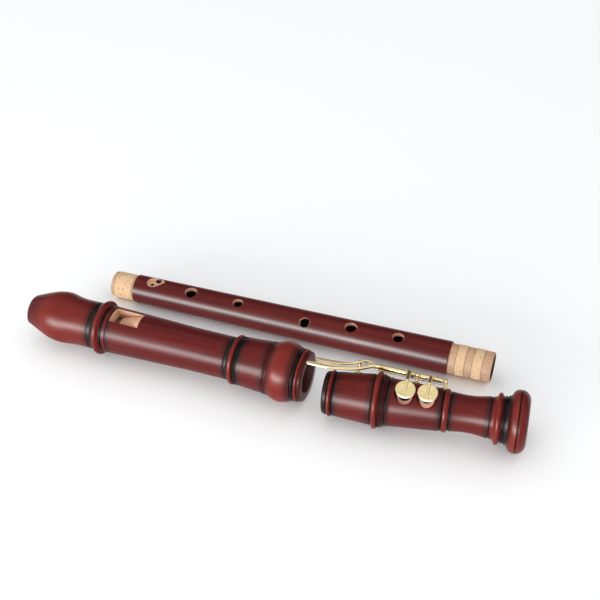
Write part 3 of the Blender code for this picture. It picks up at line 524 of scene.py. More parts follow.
def white_leather(name):
    made, tree, shader = new_finish(name, 0.66)
    coordinates = tree.nodes.new("ShaderNodeTexCoord").outputs["Object"]
    creases = tree.nodes.new("ShaderNodeTexVoronoi")
    creases.feature = "DISTANCE_TO_EDGE"
    creases.inputs["Scale"].default_value = 1500.0
    tree.links.new(coordinates, creases.inputs["Vector"])
    level = rising(tree, creases.outputs["Distance"], 0.0, 0.12)
    tree.links.new(mix(tree, level, (0.72, 0.68, 0.62), (0.90, 0.88, 0.84)), shader.inputs["Base Color"])
    bump(tree, shader, level, 0.04 * mm, 0.5)
    return made


# Oiled wood for the bores and sockets, darker than oil alone: partly painted shade inside them.
OILED_AND_SHADED = ((0.080, 0.024, 0.016), (0.050, 0.014, 0.010))
CUT_HEAD = bare_wood("cut_wood_head", HEAD_PLACE, (0.60, 0.345, 0.225), (0.46, 0.24, 0.15))
CUT_MIDDLE = bare_wood("cut_wood_middle", MIDDLE_PLACE, (0.54, 0.29, 0.19), (0.43, 0.21, 0.13))
CUT_FOOT = bare_wood("cut_wood_foot", FOOT_PLACE, (0.62, 0.34, 0.23), (0.50, 0.26, 0.17))
BLOCK_WOOD = bare_wood("cedar_block", HEAD_PLACE, (0.28, 0.13, 0.08), (0.19, 0.080, 0.045), (60, 700, 700))
BORE_WOOD = bare_wood("oiled_bore", MIDDLE_PLACE, *OILED_AND_SHADED)
HEAD_BORE_WOOD = bare_wood("oiled_head_bore", HEAD_PLACE, *OILED_AND_SHADED)
FOOT_BORE_WOOD = bare_wood("oiled_foot_bore", FOOT_PLACE, *OILED_AND_SHADED)
TENON_WOOD = bare_wood("tenon_wood", MIDDLE_PLACE, (0.50, 0.31, 0.185), (0.41, 0.24, 0.14))
CORK = cork_bark("cork_bark", MIDDLE_PLACE)
BRASS = polished_brass("polished_brass", FOOT_PLACE)
STEEL = ground_steel("ground_steel", FOOT_PLACE)
LEATHER = white_leather("white_leather")
print("finishes:", len(bpy.data.materials))

# %% [markdown]
# ## The head joint
#
# The head is turned first, with its swelling beak, the rings, and the bulge round the socket. Then it is
# carved: a round hollow under the beak for the lips, the narrow windway that leads the breath along the
# block, and the window with its ramp, whose thin edge splits the air. The ramp's floor is arched like
# the bore, so its cutter is a row of arched sections that rise along the joint.

# %% Turn the head
HEAD_BORE = 9.9 * mm
BEAK_TIP_RADIUS = 12.2 * mm
BEAK_CREST_RADIUS = 20.3 * mm
BEAK_WAIST_RADIUS = 18.1 * mm
HEAD_RING_RADIUS = 21.0 * mm
UPPER_BODY_RADIUS = 18.0 * mm
LOWER_BODY_RADIUS = 16.2 * mm
SOCKET_NECK_RADIUS = 18.4 * mm
SOCKET_BULGE_RADIUS = 22.7 * mm
HEAD_SOCKET = 12.0 * mm
HEAD_SOCKET_DEPTH = 33.6 * mm
MARGIN = 2 * mm  # how far a cutter reaches past the wall


def head_outline():
    """The outside, from the beak's tip to the open end of the socket."""
    tip, crest, waist, ring, upper, lower, neck, bulge, end = to_mm(
        BEAK_TIP_RADIUS, BEAK_CREST_RADIUS, BEAK_WAIST_RADIUS, HEAD_RING_RADIUS, UPPER_BODY_RADIUS,
        LOWER_BODY_RADIUS, SOCKET_NECK_RADIUS, SOCKET_BULGE_RADIUS, HEAD_LENGTH)
    between = (upper + lower) / 2
    return [
        *sweep([
            (0, tip - 0.3), (0.9, tip + 0.4), (2.6, tip + 1.1), (6, tip + 2.5), (11, tip + 4.5),
            (16.4, crest - 1.7), (21, crest - 0.5), (26, crest), (29.4, crest - 0.2), (33, waist + 1.3),
            (38, waist + 0.4), (44, waist), (49, waist), (54, waist),
        ]),
        *groove(54.2, 55.2, waist, 0.5),
        *hollow(55.4, 59.8, (waist, waist + 0.7), 0.7),
        *bead(60.2, 64.4, waist + 0.6, ring),
        *groove(64.8, 66.0, upper + 0.4, 0.9),
        *groove(66.4, 67.6, upper + 0.4, 0.9),
        *in_mm((68.2, upper + 0.2)),
        *groove(70.2, 71.2, upper, 0.5),
        *straight((72, upper - 0.03), (97, between + 0.3), 2),
        *straight((100, between + 0.2), (137, lower + 0.1)),
        *straight((140, lower + 0.09), (166, lower)),
        *groove(166.6, 167.6, lower, 0.5),
        *hollow(168.0, 170.8, (lower + 0.2, lower + 0.7), 0.5),
        *bead(171.2, 174.6, neck - 1.0, neck + 0.5),
        *groove(175.0, 176.2, neck - 0.3, 0.9),
        *groove(176.8, 178.6, neck, 0.9),
        *straight((181, neck + 0.1), (189, neck + 0.6)),
        *straight((190, neck + 0.7), (198.6, neck + 1.35)),
        *groove(199.2, 200.4, neck + 1.4, 0.6),
        *groove(200.8, 202.0, neck + 1.6, 0.6),
        *sweep([
            (202.6, bulge - 2.5), (204, bulge - 1.8), (207, bulge - 0.6), (210.4, bulge),
            (214.4, bulge - 0.5), (218.4, bulge - 1.9), (220.0, bulge - 2.8),
        ]),
        *groove(220.4, 221.6, bulge - 3.0, 0.9),
        *in_mm((222.2, bulge - 2.8), (222.9, bulge - 3.5)),
        *bead(223.3, 225.7, bulge - 4.2, bulge - 3.0),
        *groove(226.0, 226.8, bulge - 3.8, 0.5),
        *sweep([
            (227.0, bulge - 3.85), (end - 1.0, bulge - 3.9), (end - 0.3, bulge - 4.3), (end, bulge - 5.2),
        ], 3),
    ]


def head_inside():
    """The socket and the bore, from the open end back to the beak."""
    end, floor, bore, socket = to_mm(HEAD_LENGTH, HEAD_LENGTH - HEAD_SOCKET_DEPTH, HEAD_BORE, HEAD_SOCKET)
    rim = in_mm((end, socket + 0.6), (end - 0.6, socket), (floor, socket))
    return rim + straight((0, bore), (floor, bore))[::-1]


head = piece_from(turned(head_outline() + head_inside()), "head_wood", HEAD_WOOD)
# The socket and the bore take the dark bore finish, partly painted shade inside the open socket.
finish_bore(head, HEAD_SOCKET + 0.2 * mm, HEAD_BORE_WOOD)
print("head outline stations:", len(head_outline()))

# %% Carve the beak, the windway and the window
BEAK_TIP_UNDER = -1 * mm
BEAK_HOLLOW_END = 46 * mm
BEAK_HOLLOW_RADIUS = 62 * mm
WINDWAY_WIDTH = 13.6 * mm
WINDWAY_HEIGHT = 1.5 * mm
WINDWAY_END = 73.2 * mm
WINDOW_WIDTH = 14.0 * mm
CUT_UP = 3.8 * mm
WINDOW_START = 71.7 * mm
WINDOW_END = 96.3 * mm
LABIUM_RADIUS = 11.2 * mm
GAP = 0.3 * mm
BLOCK_FRONT = 1.5 * mm
BLOCK_BEVEL = 0.8 * mm
LABIUM = WINDWAY_END + CUT_UP


def lip_hollow(name, finish):
    """The round hollow under the beak: a wide bar laid across it."""
    start, end = Vector((0, BEAK_TIP_UNDER)), Vector((BEAK_HOLLOW_END, -BEAK_CREST_RADIUS))
    chord = end - start
    down = Vector((chord.y, -chord.x)).normalized()
    centre = (start + end) / 2 + down * math.sqrt(BEAK_HOLLOW_RADIUS**2 - (chord.length / 2) ** 2)
    side = BEAK_CREST_RADIUS + MARGIN
    bm = bar((centre.x, -side, centre.y), (centre.x, side, centre.y), BEAK_HOLLOW_RADIUS, 360)
    return piece_from(bm, name, finish)


def windway_cutter():
    """A curved bar between the block and the windway's roof."""
    roof = HEAD_BORE - GAP + WINDWAY_HEIGHT
    half_angle = math.asin(WINDWAY_WIDTH / 2 / roof)
    steps = 24
    turns = [half_angle * (2 * i / steps - 1) for i in range(steps + 1)]
    inner = HEAD_BORE - MARGIN
    profile = [(roof * math.sin(a), roof * math.cos(a)) for a in turns]
    profile += [(inner * math.sin(a), inner * math.cos(a)) for a in reversed(turns)]
    bm = swept([[(x, y, z) for y, z in profile] for x in (-MARGIN, WINDWAY_END + MARGIN / 2)])
    # The windway's walls take the dark bore finish, painted shade in the narrow slit.
    return piece_from(bm, "cut_windway", HEAD_BORE_WOOD)


def window_cutter(name, stations):
    """As wide as the window, with an arched floor at each (along, radius) station."""
    half, top = WINDOW_WIDTH / 2, HEAD_RING_RADIUS + MARGIN
    steps = 28
    across = [half * (2 * i / steps - 1) for i in range(steps + 1)]
    sections = []
    for x, radius in stations:
        floor = [(x, y, math.sqrt(max(radius**2 - y**2, 0))) for y in across]
        sections.append(floor + [(x, half, top), (x, -half, top)])
    return piece_from(swept(sections), name, CUT_HEAD)


def carve_head():
    """The facet slants down to the windway's end, and the ramp rises from the thin edge to the far end."""
    roof = HEAD_BORE - GAP + WINDWAY_HEIGHT
    top = HEAD_RING_RADIUS
    slant = (top - roof) * (WINDWAY_END - WINDOW_START) / (UPPER_BODY_RADIUS - roof)
    slope = (UPPER_BODY_RADIUS - LABIUM_RADIUS) / (WINDOW_END - LABIUM)
    far = WINDOW_END + (top - UPPER_BODY_RADIUS) / slope
    through = HEAD_BORE - MARGIN
    carve(head, [
        lip_hollow("cut_lip_hollow", HEAD_WOOD),
        windway_cutter(),
        window_cutter("cut_opening", [(WINDWAY_END, through), (LABIUM, through)]),
        window_cutter("cut_facet", [(WINDWAY_END - slant, top), (WINDWAY_END, roof), (LABIUM, roof)]),
        window_cutter("cut_ramp", [(LABIUM - GAP, LABIUM_RADIUS), (LABIUM, LABIUM_RADIUS), (far, top)]),
    ])


carve_head()
head.data.transform(HEAD_PLACE)
put_on(head, "head", "head_joint")

# %% [markdown]
# The block closes the bore below the windway. Its front edge is bevelled, and that bevel shows in the
# window as a brown strip beside the dark slit of the windway.

# %% Turn the block


def make_block():
    radius, end, bevel = to_mm(HEAD_BORE - GAP, WINDWAY_END + BLOCK_FRONT, BLOCK_BEVEL)
    outline = in_mm((0, 0), (0, radius)) + straight((0.5, radius), (end - bevel, radius))
    outline += in_mm((end, radius - bevel), (end, 0))
    block = piece_from(turned(outline), "block_wood", BLOCK_WOOD)
    carve(block, [lip_hollow("cut_block_hollow", BLOCK_WOOD)])
    block.data.transform(HEAD_PLACE)
    put_on(block, "head", "windway_block")


make_block()

# %% [markdown]
# ## The middle joint
#
# A plain tapered tube with a tenon at each end. The tenons show bare wood between their corks, so the
# joint is coloured by where its faces lie: stained outside, bare on the tenons, and dark in the bore, where
# the oiled wood is darkened further as painted shade.
# The finger holes are drilled from outside by drills that flare a little where they leave the wood, which
# eases the rims. The lowest hole is a double one, in a leaf-shaped scoop.

# %% Turn the middle joint
MIDDLE_FOOT_RADIUS = 11.4 * mm
MIDDLE_HEAD_RADIUS = 12.8 * mm
MIDDLE_FOOT_BORE = 7.6 * mm
MIDDLE_HEAD_BORE = 9.2 * mm
FOOT_TENON_RADIUS = 10.3 * mm
HEAD_TENON_RADIUS = 11.5 * mm
NEAR_BORE = 0.6 * mm  # a face this near to the bore belongs to it
TO_SHOULDER = 0.01 * mm  # a face this near to a shoulder belongs to its tenon
CORK_DEPTH = 1.0 * mm
CORK_PROUD = 0.35 * mm
CORK_BANDS = {
    "foot_tenon_cork": (2.7 * mm - FOOT_TENON_LENGTH, -1.3 * mm, FOOT_TENON_RADIUS),
    "head_tenon_cork_inner": (MIDDLE_LENGTH + 5.2 * mm, MIDDLE_LENGTH + 12.8 * mm, HEAD_TENON_RADIUS),
    "head_tenon_cork_outer": (MIDDLE_LENGTH + 17.8 * mm, MIDDLE_LENGTH + 25.8 * mm, HEAD_TENON_RADIUS),
}


def middle_outline():
    """The outside from the foot tenon to the head tenon, with a groove for each cork, then the bore back."""
    first, length, last = to_mm(-FOOT_TENON_LENGTH, MIDDLE_LENGTH, MIDDLE_LENGTH + HEAD_TENON_LENGTH)
    foot_tenon, narrow, wide, head_tenon = to_mm(
        FOOT_TENON_RADIUS, MIDDLE_FOOT_RADIUS, MIDDLE_HEAD_RADIUS, HEAD_TENON_RADIUS)
    shoulders = in_mm((0, foot_tenon), (0, narrow - 0.3))
    shoulders += straight((0.4, narrow), (length - 0.6, wide), 3)
    shoulders += in_mm((length, wide - 0.5), (length, head_tenon))
    outline = in_mm((first, foot_tenon - 0.8), (first + 0.3, foot_tenon - 0.25), (first + 0.8, foot_tenon))
    for name, (start, end, radius) in CORK_BANDS.items():
        if name == "head_tenon_cork_inner":
            outline += shoulders
        floor = radius - CORK_DEPTH
        outline += [(start, radius), (start, floor), (end, floor), (end, radius)]
    outline += in_mm((last - 0.8, head_tenon), (last - 0.3, head_tenon - 0.25), (last, head_tenon - 0.8))
    foot_bore, head_bore = to_mm(MIDDLE_FOOT_BORE, MIDDLE_HEAD_BORE)
    return outline + straight((first, foot_bore), (last, head_bore), 3)[::-1]


def finish_middle(piece):
    """Gives the tenons and the bore their own finish."""
    piece.data.materials.append(TENON_WOOD)
    piece.data.materials.append(BORE_WOOD)
    for face in piece.data.polygons:
        x, y, z = face.center
        bore = MIDDLE_FOOT_BORE + (MIDDLE_HEAD_BORE - MIDDLE_FOOT_BORE) * x / MIDDLE_LENGTH
        # The bore takes the dark finish: oiled wood, with painted shade.
        if math.hypot(y, z) < bore + NEAR_BORE:
            face.material_index = 2
        elif x < TO_SHOULDER or x > MIDDLE_LENGTH - TO_SHOULDER:
            face.material_index = 1


middle = piece_from(turned(middle_outline()), "middle_wood", MIDDLE_WOOD)
finish_middle(middle)

# %% Drill the finger holes
# Distance from the foot shoulder, lean about the axis in degrees, radius
FINGER_HOLES = {
    "sixth_large": (18.6 * mm, -28, 2.3 * mm),
    "sixth_small": (15.4 * mm, 3, 1.4 * mm),
    "fifth": (49.6 * mm, 0, 4.7 * mm),
    "fourth": (90.2 * mm, 2, 3.8 * mm),
    "third": (147.2 * mm, 22, 4.0 * mm),
    "second": (183.8 * mm, 0, 4.5 * mm),
    "first": (221.4 * mm, 0, 4.2 * mm),
    "thumb": (235 * mm, 180, 3.9 * mm),
}
RIM = 0.23 * mm  # how far the rim of a hole is eased
RIM_SIDE = 0.6  # the rim's level is taken this share of the radius to the side, on the round joint
FLARE_HEIGHT = 1.2 * mm
FLARE = 1.0 * mm
DRILL_TIP = 3 * mm  # how near the drill comes to the middle line
DRILL_SIDES = 48
DRILL_TURN = 0.37  # the drill's turn, as a share of a side, so that no corner meets an edge of the joint


def middle_radius(x):
    return MIDDLE_FOOT_RADIUS + (MIDDLE_HEAD_RADIUS - MIDDLE_FOOT_RADIUS) * x / MIDDLE_LENGTH


def hole_cutter(name, x, lean, radius):
    """The drill, flared where it leaves the wood to ease the rim. It leans from the top to the front."""
    outside = middle_radius(x)
    surface = outside * math.cos(radius / outside * RIM_SIDE)
    eased = not name.startswith("sixth")
    levels = [(DRILL_TIP, radius), (surface - RIM, radius)]
    levels += [(surface + FLARE_HEIGHT, radius + FLARE if eased else radius)]
    turns = [2 * math.pi * (i + DRILL_TURN) / DRILL_SIDES for i in range(DRILL_SIDES)]
    bm = swept([
        [(x + size * math.cos(turn), size * math.sin(turn), height) for turn in turns]
        for height, size in levels
    ])
    bm.transform(Matrix.Rotation(math.radians(lean), 4, "X"))
    # The double hole's walls take the dark bore finish: painted shade on the steep walls seen in shadow.
    return piece_from(bm, f"cut_{name}_hole", CUT_MIDDLE if eased else BORE_WOOD)


RECESS_AT = 17.4 * mm
RECESS_LEAN = math.radians(-13)
RECESS_LENGTH = 14.5 * mm
RECESS_WIDTH = 12.4 * mm
RECESS_DEPTH = 1.5 * mm
LEAF_POINT = 0.38  # how much narrower it is towards the head
LEAF_SKEW = 0.22
# Height above the floor, share of the outline
LEAF_LEVELS = ((0, 0.72), (0.12 * mm, 0.80), (0.4 * mm, 0.87), (0.9 * mm, 0.93), (6 * mm, 1.30))


def leaf_cutter():
    """The leaf-shaped scoop round the double hole: blunt towards the foot, pointed towards the head."""
    rim = []
    count = 72
    for i in range(count):
        turn = 2 * math.pi * i / count
        along = RECESS_LENGTH / 2 * math.cos(turn)
        width = RECESS_WIDTH / 2 * math.sin(turn) * (1 - LEAF_POINT * math.cos(turn))
        rim.append((along, width + LEAF_SKEW * along))
    floor = middle_radius(RECESS_AT) - RECESS_DEPTH
    bm = swept([
        [(RECESS_AT + x * size, y * size, floor + rise) for x, y in rim] for rise, size in LEAF_LEVELS
    ])
    bm.transform(Matrix.Rotation(RECESS_LEAN, 4, "X"))
    return piece_from(bm, "cut_leaf", CUT_MIDDLE)


carve(middle, [leaf_cutter()] + [hole_cutter(name, *hole) for name, hole in FINGER_HOLES.items()])
middle.data.transform(MIDDLE_PLACE)
put_on(middle, "middle", "middle_joint")

# %% [markdown]
# ## The corks
#
# Each cork is a band glued into a groove of its tenon. It stands a little proud, with rounded edges.

# %% Turn the corks


def make_cork(name, start, end, radius):
    start, end, inner, outer = to_mm(start + GAP, end - GAP, radius - CORK_DEPTH + GAP, radius + CORK_PROUD)
    outline = in_mm((start, inner))
    outline += sweep([(start, outer - 0.4), (start + 0.25, outer - 0.12), (start + 0.7, outer)], 3)
    outline += straight((start + 1.2, outer), (end - 1.2, outer), 2)
    outline += sweep([(end - 0.7, outer), (end - 0.25, outer - 0.12), (end, outer - 0.4)], 3)
    bm = turned(outline + in_mm((end, inner)))
    put_on(piece_from(bm, name + "_band", CORK, MIDDLE_PLACE), "middle", name)


for name, (start, end, radius) in CORK_BANDS.items():
    make_cork(name, start, end, radius)

# %% [markdown]
# ## The foot joint
#
# The foot widens from its socket to a shoulder ring, falls in to a slim waist and opens into the bell.
# Two flat round seats are cut where the pads close, each with its tone hole.

# %% Turn the foot
FOOT_BORE = 7.2 * mm
BELL_MOUTH = 9.0 * mm
BELL_MOUTH_DEPTH = 30 * mm
FOOT_SOCKET_RADIUS = 16.2 * mm
FOOT_SHOULDER_RADIUS = 18.4 * mm
KEY_SECTION_START = 48 * mm
KEY_SECTION_END = 83.5 * mm
KEY_SECTION_RADII = (17.2 * mm, 15.2 * mm)
WAIST_RADIUS = 13.1 * mm
BELL_RADIUS = 22.5 * mm
FOOT_SOCKET = 10.8 * mm
FOOT_SOCKET_DEPTH = 21 * mm
TONE_HOLES = {"upper": (58.6 * mm, 4.3 * mm), "lower": (74.3 * mm, 3.6 * mm)}
SEAT_HEIGHT = 13.8 * mm
SEAT_RADIUS = 7.5 * mm
BARE_SEAT = (0.72, 0.97)  # the part of a seat that shows bare wood: its share along and across
BARE_SEAT_DEPTH = 0.12 * mm


def foot_outline():
    """The outside from the socket's rim to the bell's end, then the bore and the socket back."""
    lip, shoulder, top, low, waist, bell, end = to_mm(
        FOOT_SOCKET_RADIUS, FOOT_SHOULDER_RADIUS, *KEY_SECTION_RADII, WAIST_RADIUS, BELL_RADIUS, FOOT_LENGTH)
    key_start, key_end, socket, floor, bore, mouth, mouth_start = to_mm(
        KEY_SECTION_START, KEY_SECTION_END, FOOT_SOCKET, FOOT_SOCKET_DEPTH, FOOT_BORE, BELL_MOUTH,
        FOOT_LENGTH - BELL_MOUTH_DEPTH)
    return [
        *sweep([(0, lip - 2.2), (0.3, lip - 1.4), (1.2, lip - 0.8), (3.0, lip - 0.4)], 3),
        *groove(3.2, 3.8, lip - 0.5, 0.4),
        *bead(4.0, 6.5, lip - 0.6, lip + 0.6),
        *groove(6.8, 7.7, lip - 0.3, 0.6),
        *groove(7.9, 8.8, lip - 0.1, 0.5),
        *straight((9.2, lip), (22, lip + 1.0), 3),
        *straight((24, lip + 1.2), (34.6, shoulder), 3),
        *groove(35.4, 36.6, shoulder, 0.6),
        *bead(36.8, 40.6, shoulder + 0.2, shoulder + 2.3),
        *groove(41.2, 42.4, shoulder + 1.0, 0.8),
        *groove(43.2, 44.4, shoulder + 0.3, 0.8),
        *groove(45.2, 46.6, shoulder - 0.5, 0.9),
        *straight((key_start, top), (key_end, low), 2),
        *groove(84.0, 85.2, low - 0.1, 0.6),
        *bead(86.0, 89.4, low - 0.8, low + 0.4),
        *groove(89.9, 91.1, waist + 1.2, 0.8),
        *hollow(91.6, 117.6, (waist + 1.0, waist + 1.8), 1.2, 15),
        *groove(118.2, 119.2, waist + 1.8, 0.6),
        *hollow(119.6, 122.2, (waist + 1.9, waist + 2.7), 0.4),
        *bead(122.6, 126.2, waist + 3.4, waist + 5.4),
        *groove(126.6, 127.8, waist + 3.6, 0.8),
        *groove(128.4, 129.8, waist + 4.0, 0.8),
        *sweep([
            (130.8, waist + 4.2), (132.0, bell - 4.4), (133.4, bell - 1.8), (135.4, bell - 0.4),
            (137.0, bell),
        ]),
        *groove(137.6, 138.4, bell, 0.5),
        *sweep([
            (138.9, bell - 0.1), (140.2, bell - 0.3), (142.4, bell - 1.5), (144.2, bell - 3.6),
            (end, bell - 6),
        ]),
        *in_mm((end, mouth + 0.8), (end - 0.8, mouth)),
        *straight((floor, bore), (mouth_start, bore))[::-1],
        *in_mm((floor, socket), (0.6, socket), (0, socket + 0.6)),
    ]


foot = piece_from(turned(foot_outline()), "foot_wood", FOOT_WOOD)
# The socket and the bore take the dark bore finish, partly painted shade inside the open socket.
finish_bore(foot, FOOT_SOCKET + 0.2 * mm, FOOT_BORE_WOOD)

# %% [markdown]
# ## Where the hinge runs
#
# The two keys share one hinge rod. It runs beside the joint, over its back, so a point near it is given
# by its distance along the foot, how far out from the hinge line it lies, and how far over towards the
# pads. Those two directions are square to each other.

# %% The hinge line
HINGE_LEAN = math.radians(68.7)
POSTS = {"upper": 22.0 * mm, "middle": 64.2 * mm, "lower": 84.7 * mm}
HINGE_RADII = (24.8 * mm, 20.3 * mm)
ROD_RADIUS = 1.0 * mm
ROD_SLOT = (1.0 * mm, 0.35 * mm, 4 * mm)
TUBE_RADIUS = 1.9 * mm
TUBE_CLEARANCE = 0.05 * mm
BALL_RADIUS = 1.9 * mm
POST_STEM_RADIUS = 1.0 * mm
POST_COLLAR_RADIUS = 1.8 * mm
POST_BASE_RADIUS = 2.7 * mm
POST_SPIGOT_RADIUS = 1.1 * mm
POST_SPIGOT_LENGTH = 3.0 * mm
OUTWARD = Vector((0, math.sin(HINGE_LEAN), math.cos(HINGE_LEAN)))
TO_PADS = Vector((0, -math.cos(HINGE_LEAN), math.sin(HINGE_LEAN)))


def hinge_radius(x):
    """How far the hinge line lies from the joint's middle line."""
    first, last = POSTS["upper"], POSTS["lower"]
    return HINGE_RADII[0] + (HINGE_RADII[1] - HINGE_RADII[0]) * (x - first) / (last - first)


def by_hinge(x, out=0.0, over=0.0):
    """A point near the hinge line."""
    return Vector((x, 0, 0)) + OUTWARD * (hinge_radius(x) + out) + TO_PADS * over


def facing(start, direction):
    """The place that starts here, with its X along the direction."""
    return Matrix.Translation(start) @ direction.to_track_quat("X", "Z").to_matrix().to_4x4()


HINGE_ALONG = (by_hinge(POSTS["lower"]) - by_hinge(POSTS["upper"])).normalized()
KEY_OPEN = math.radians(10)


def opened():
    """The turn that lifts a key from its seat to its open rest."""
    at = by_hinge(POSTS["upper"])
    swing = Matrix.Rotation(-KEY_OPEN, 4, HINGE_ALONG)
    return Matrix.Translation(at) @ swing @ Matrix.Translation(-at)


def post_ground(name):
    """Height of the small flat that a post's base stands on."""
    x = POSTS[name]
    if name == "upper":
        return FOOT_SOCKET_RADIUS + 0.6 * mm
    if name == "middle":
        part = (x - KEY_SECTION_START) / (KEY_SECTION_END - KEY_SECTION_START)
        return KEY_SECTION_RADII[0] + (KEY_SECTION_RADII[1] - KEY_SECTION_RADII[0]) * part - 0.4 * mm
    return KEY_SECTION_RADII[1] - 0.4 * mm


print("hinge runs along", [round(v, 4) for v in HINGE_ALONG])

# %% Carve the foot


def foot_cutters():
    made = []

    def add(bm, name, finish=FOOT_WOOD):
        made.append(piece_from(bm, f"cut_{name}", finish))

    for name, (x, radius) in TONE_HOLES.items():
        add(bar((x, 0, SEAT_HEIGHT), (x, 0, BELL_RADIUS), SEAT_RADIUS, 72), name + "_seat")
        bare = bar((0, 0, SEAT_HEIGHT - BARE_SEAT_DEPTH), (0, 0, BELL_RADIUS), SEAT_RADIUS, 72)
        bare.transform(Matrix.Translation((x, 0, 0)) @ Matrix.Diagonal((*BARE_SEAT, 1, 1)))
        add(bare, name + "_bare_seat", CUT_FOOT)
        add(bar((x, 0, 2 * mm), (x, 0, BELL_RADIUS), radius), name + "_tone_hole", CUT_FOOT)
    for name, x in POSTS.items():
        station, ground = Vector((x, 0, 0)), post_ground(name)
        away = station + OUTWARD * (hinge_radius(x) - BALL_RADIUS - GAP)
        add(bar(station + OUTWARD * ground, away, POST_BASE_RADIUS + GAP), name + "_flat")
        bottom = station + OUTWARD * (ground - POST_SPIGOT_LENGTH - GAP)
        add(bar(bottom, away, POST_SPIGOT_RADIUS + GAP), name + "_post_hole")
    return made


carve(foot, foot_cutters())
foot.data.transform(FOOT_PLACE)
put_on(foot, "foot", "foot_joint")

# %% [markdown]
# ## Posts and rod
#
# Each post is turned from brass: a spigot in the wood, a foot, a slim stem with a collar, and a ball
# that the rod passes through.

# %% Turn the posts and the rod


def post_outline(height):
    height, ball, stem, collar, base, spigot, depth = to_mm(
        height, BALL_RADIUS, POST_STEM_RADIUS, POST_COLLAR_RADIUS, POST_BASE_RADIUS, POST_SPIGOT_RADIUS,
        POST_SPIGOT_LENGTH)
    neck = height - ball
    turns = [math.radians(turn) for turn in range(40, 171, 10)]
    return [
        *in_mm((-depth, 0), (-depth, spigot), (0, spigot)),
        *in_mm((0, base - 0.1), (0.1, base), (0.45, base), (0.6, base - 0.1)),
        *sweep([(0.8, stem + 0.9), (1.0, stem + 0.3), (1.4, stem)], 4),
        *in_mm((neck - 0.9, stem), (neck - 0.75, collar - 0.15), (neck - 0.5, collar)),
        *in_mm((neck - 0.2, collar - 0.05), (neck + 0.15, stem)),
        *in_mm(*((height - ball * math.cos(turn), ball * math.sin(turn)) for turn in turns)),
        *in_mm((height + ball, 0)),
    ]


def make_post(name, x):
    ground = post_ground(name) + GAP
    bm = turned(post_outline(hinge_radius(x) - ground), 48)
    bm.transform(facing(Vector((x, 0, 0)) + OUTWARD * ground, OUTWARD))
    post = piece_from(bm, f"{name}_post_brass", BRASS)
    reach = BALL_RADIUS + MARGIN
    bore = bar(by_hinge(x - reach), by_hinge(x + reach), ROD_RADIUS + GAP, 32)
    carve(post, [piece_from(bore, f"cut_{name}_bore", BRASS)])
    post.data.transform(FOOT_PLACE)
    put_on(post, "foot", f"{name}_post")


def make_rod():
    """The steel rod, with a screwdriver slot in its lower end."""
    ends = BALL_RADIUS * 0.8
    start, end = by_hinge(POSTS["upper"] - ends), by_hinge(POSTS["lower"] + ends)
    rod = piece_from(bar(start, end, ROD_RADIUS, 32), "rod_steel", STEEL)
    slot = bmesh.new()
    bmesh.ops.create_cube(slot, size=1.0)
    bmesh.ops.scale(slot, vec=ROD_SLOT, verts=slot.verts)
    slot.transform(facing(end, HINGE_ALONG))
    carve(rod, [piece_from(slot, "cut_slot", STEEL)])
    rod.data.transform(FOOT_PLACE)
    put_on(rod, "foot", "hinge_rod")


for name, x in POSTS.items():
    make_post(name, x)
make_rod()

# %% [markdown]
# ## The keys
#
# A key is a touch for the finger, a lever, a tube that turns on the rod, an arm and a cup with its pad.
# The touches are cast and filed: a flat finger plate that narrows into a lever and climbs to the tube.
# Their sections are rounded rings that change width, thickness and lean along the foot, and a smooth
# curve through a few stations gives all the sections between them.

# %% Touches and levers
BRASS_SHARP = math.radians(50)  # filed brass is rounder than turned wood
TOUCH_LEAN = math.radians(17)
TOUCH_CORNERS = 32
TOUCH_ROUNDING = 0.6  # 1 would be an ellipse, 0 a box
LEVER_ROD_RADIUS = 1.0
LOWER_TUBE_LUG = 4.0

# Along the foot, out from the hinge line, over towards the pads, half width, half thickness, in
# millimetres, and share of lean
UPPER_TOUCH = (
    (-13.8, -9.7, 17.4, 1.6, 0.5, 1), (-13.2, -9.7, 17.4, 2.6, 1.0, 1), (-11.8, -9.7, 17.4, 3.5, 1.3, 1),
    (-9, -9.7, 17.4, 3.9, 1.3, 1), (0, -9.6, 17.4, 3.9, 1.3, 1), (4, -9.3, 17.2, 3.6, 1.3, 1),
    (8, -8.8, 16.4, 2.7, 1.3, 1), (13.5, -7.8, 14.3, 2.1, 1.35, 0.8), (19.5, -6.4, 11.3, 1.9, 1.4, 0.5),
    (25, -4.4, 7.8, 1.9, 1.4, 0.2), (29, -2.3, 4.9, 1.9, 1.4, 0), (33, -0.6, 2.9, 1.9, 1.3, 0),
    (37, 0, 2.4, 1.8, 1.1, 0), (39.5, 0, 2.3, 1.2, 0.8, 0),
)
LOWER_TOUCH = (
    (-9.6, -5.2, 9.0, 1.5, 0.4, 1), (-9.0, -5.2, 9.0, 2.4, 0.7, 1), (-7.6, -5.1, 9.0, 3.2, 0.9, 1),
    (-5, -5.1, 9.0, 3.5, 0.9, 1), (4, -4.8, 9.0, 3.5, 0.9, 1), (8.5, -4.4, 8.9, 3.2, 0.9, 1),
    (12.5, -3.8, 8.3, 2.0, 1.0, 1), (17, -2.7, 7.0, 1.6, 1.0, 0.6), (20.5, -1.2, 5.6, 1.4, 1.0, 0.3),
    (24.2, 0.9, 3.6, 1.3, 0.9, 0), (27, 2.2, 1.3, 1.2, 0.8, 0), (29.2, 2.4, -0.8, 1.1, 0.8, 0),
    (31.4, 1.4, -2.7, 1.0, 0.9, 0), (34, -0.6, -3.4, 0.95, 0.95, 0),
)


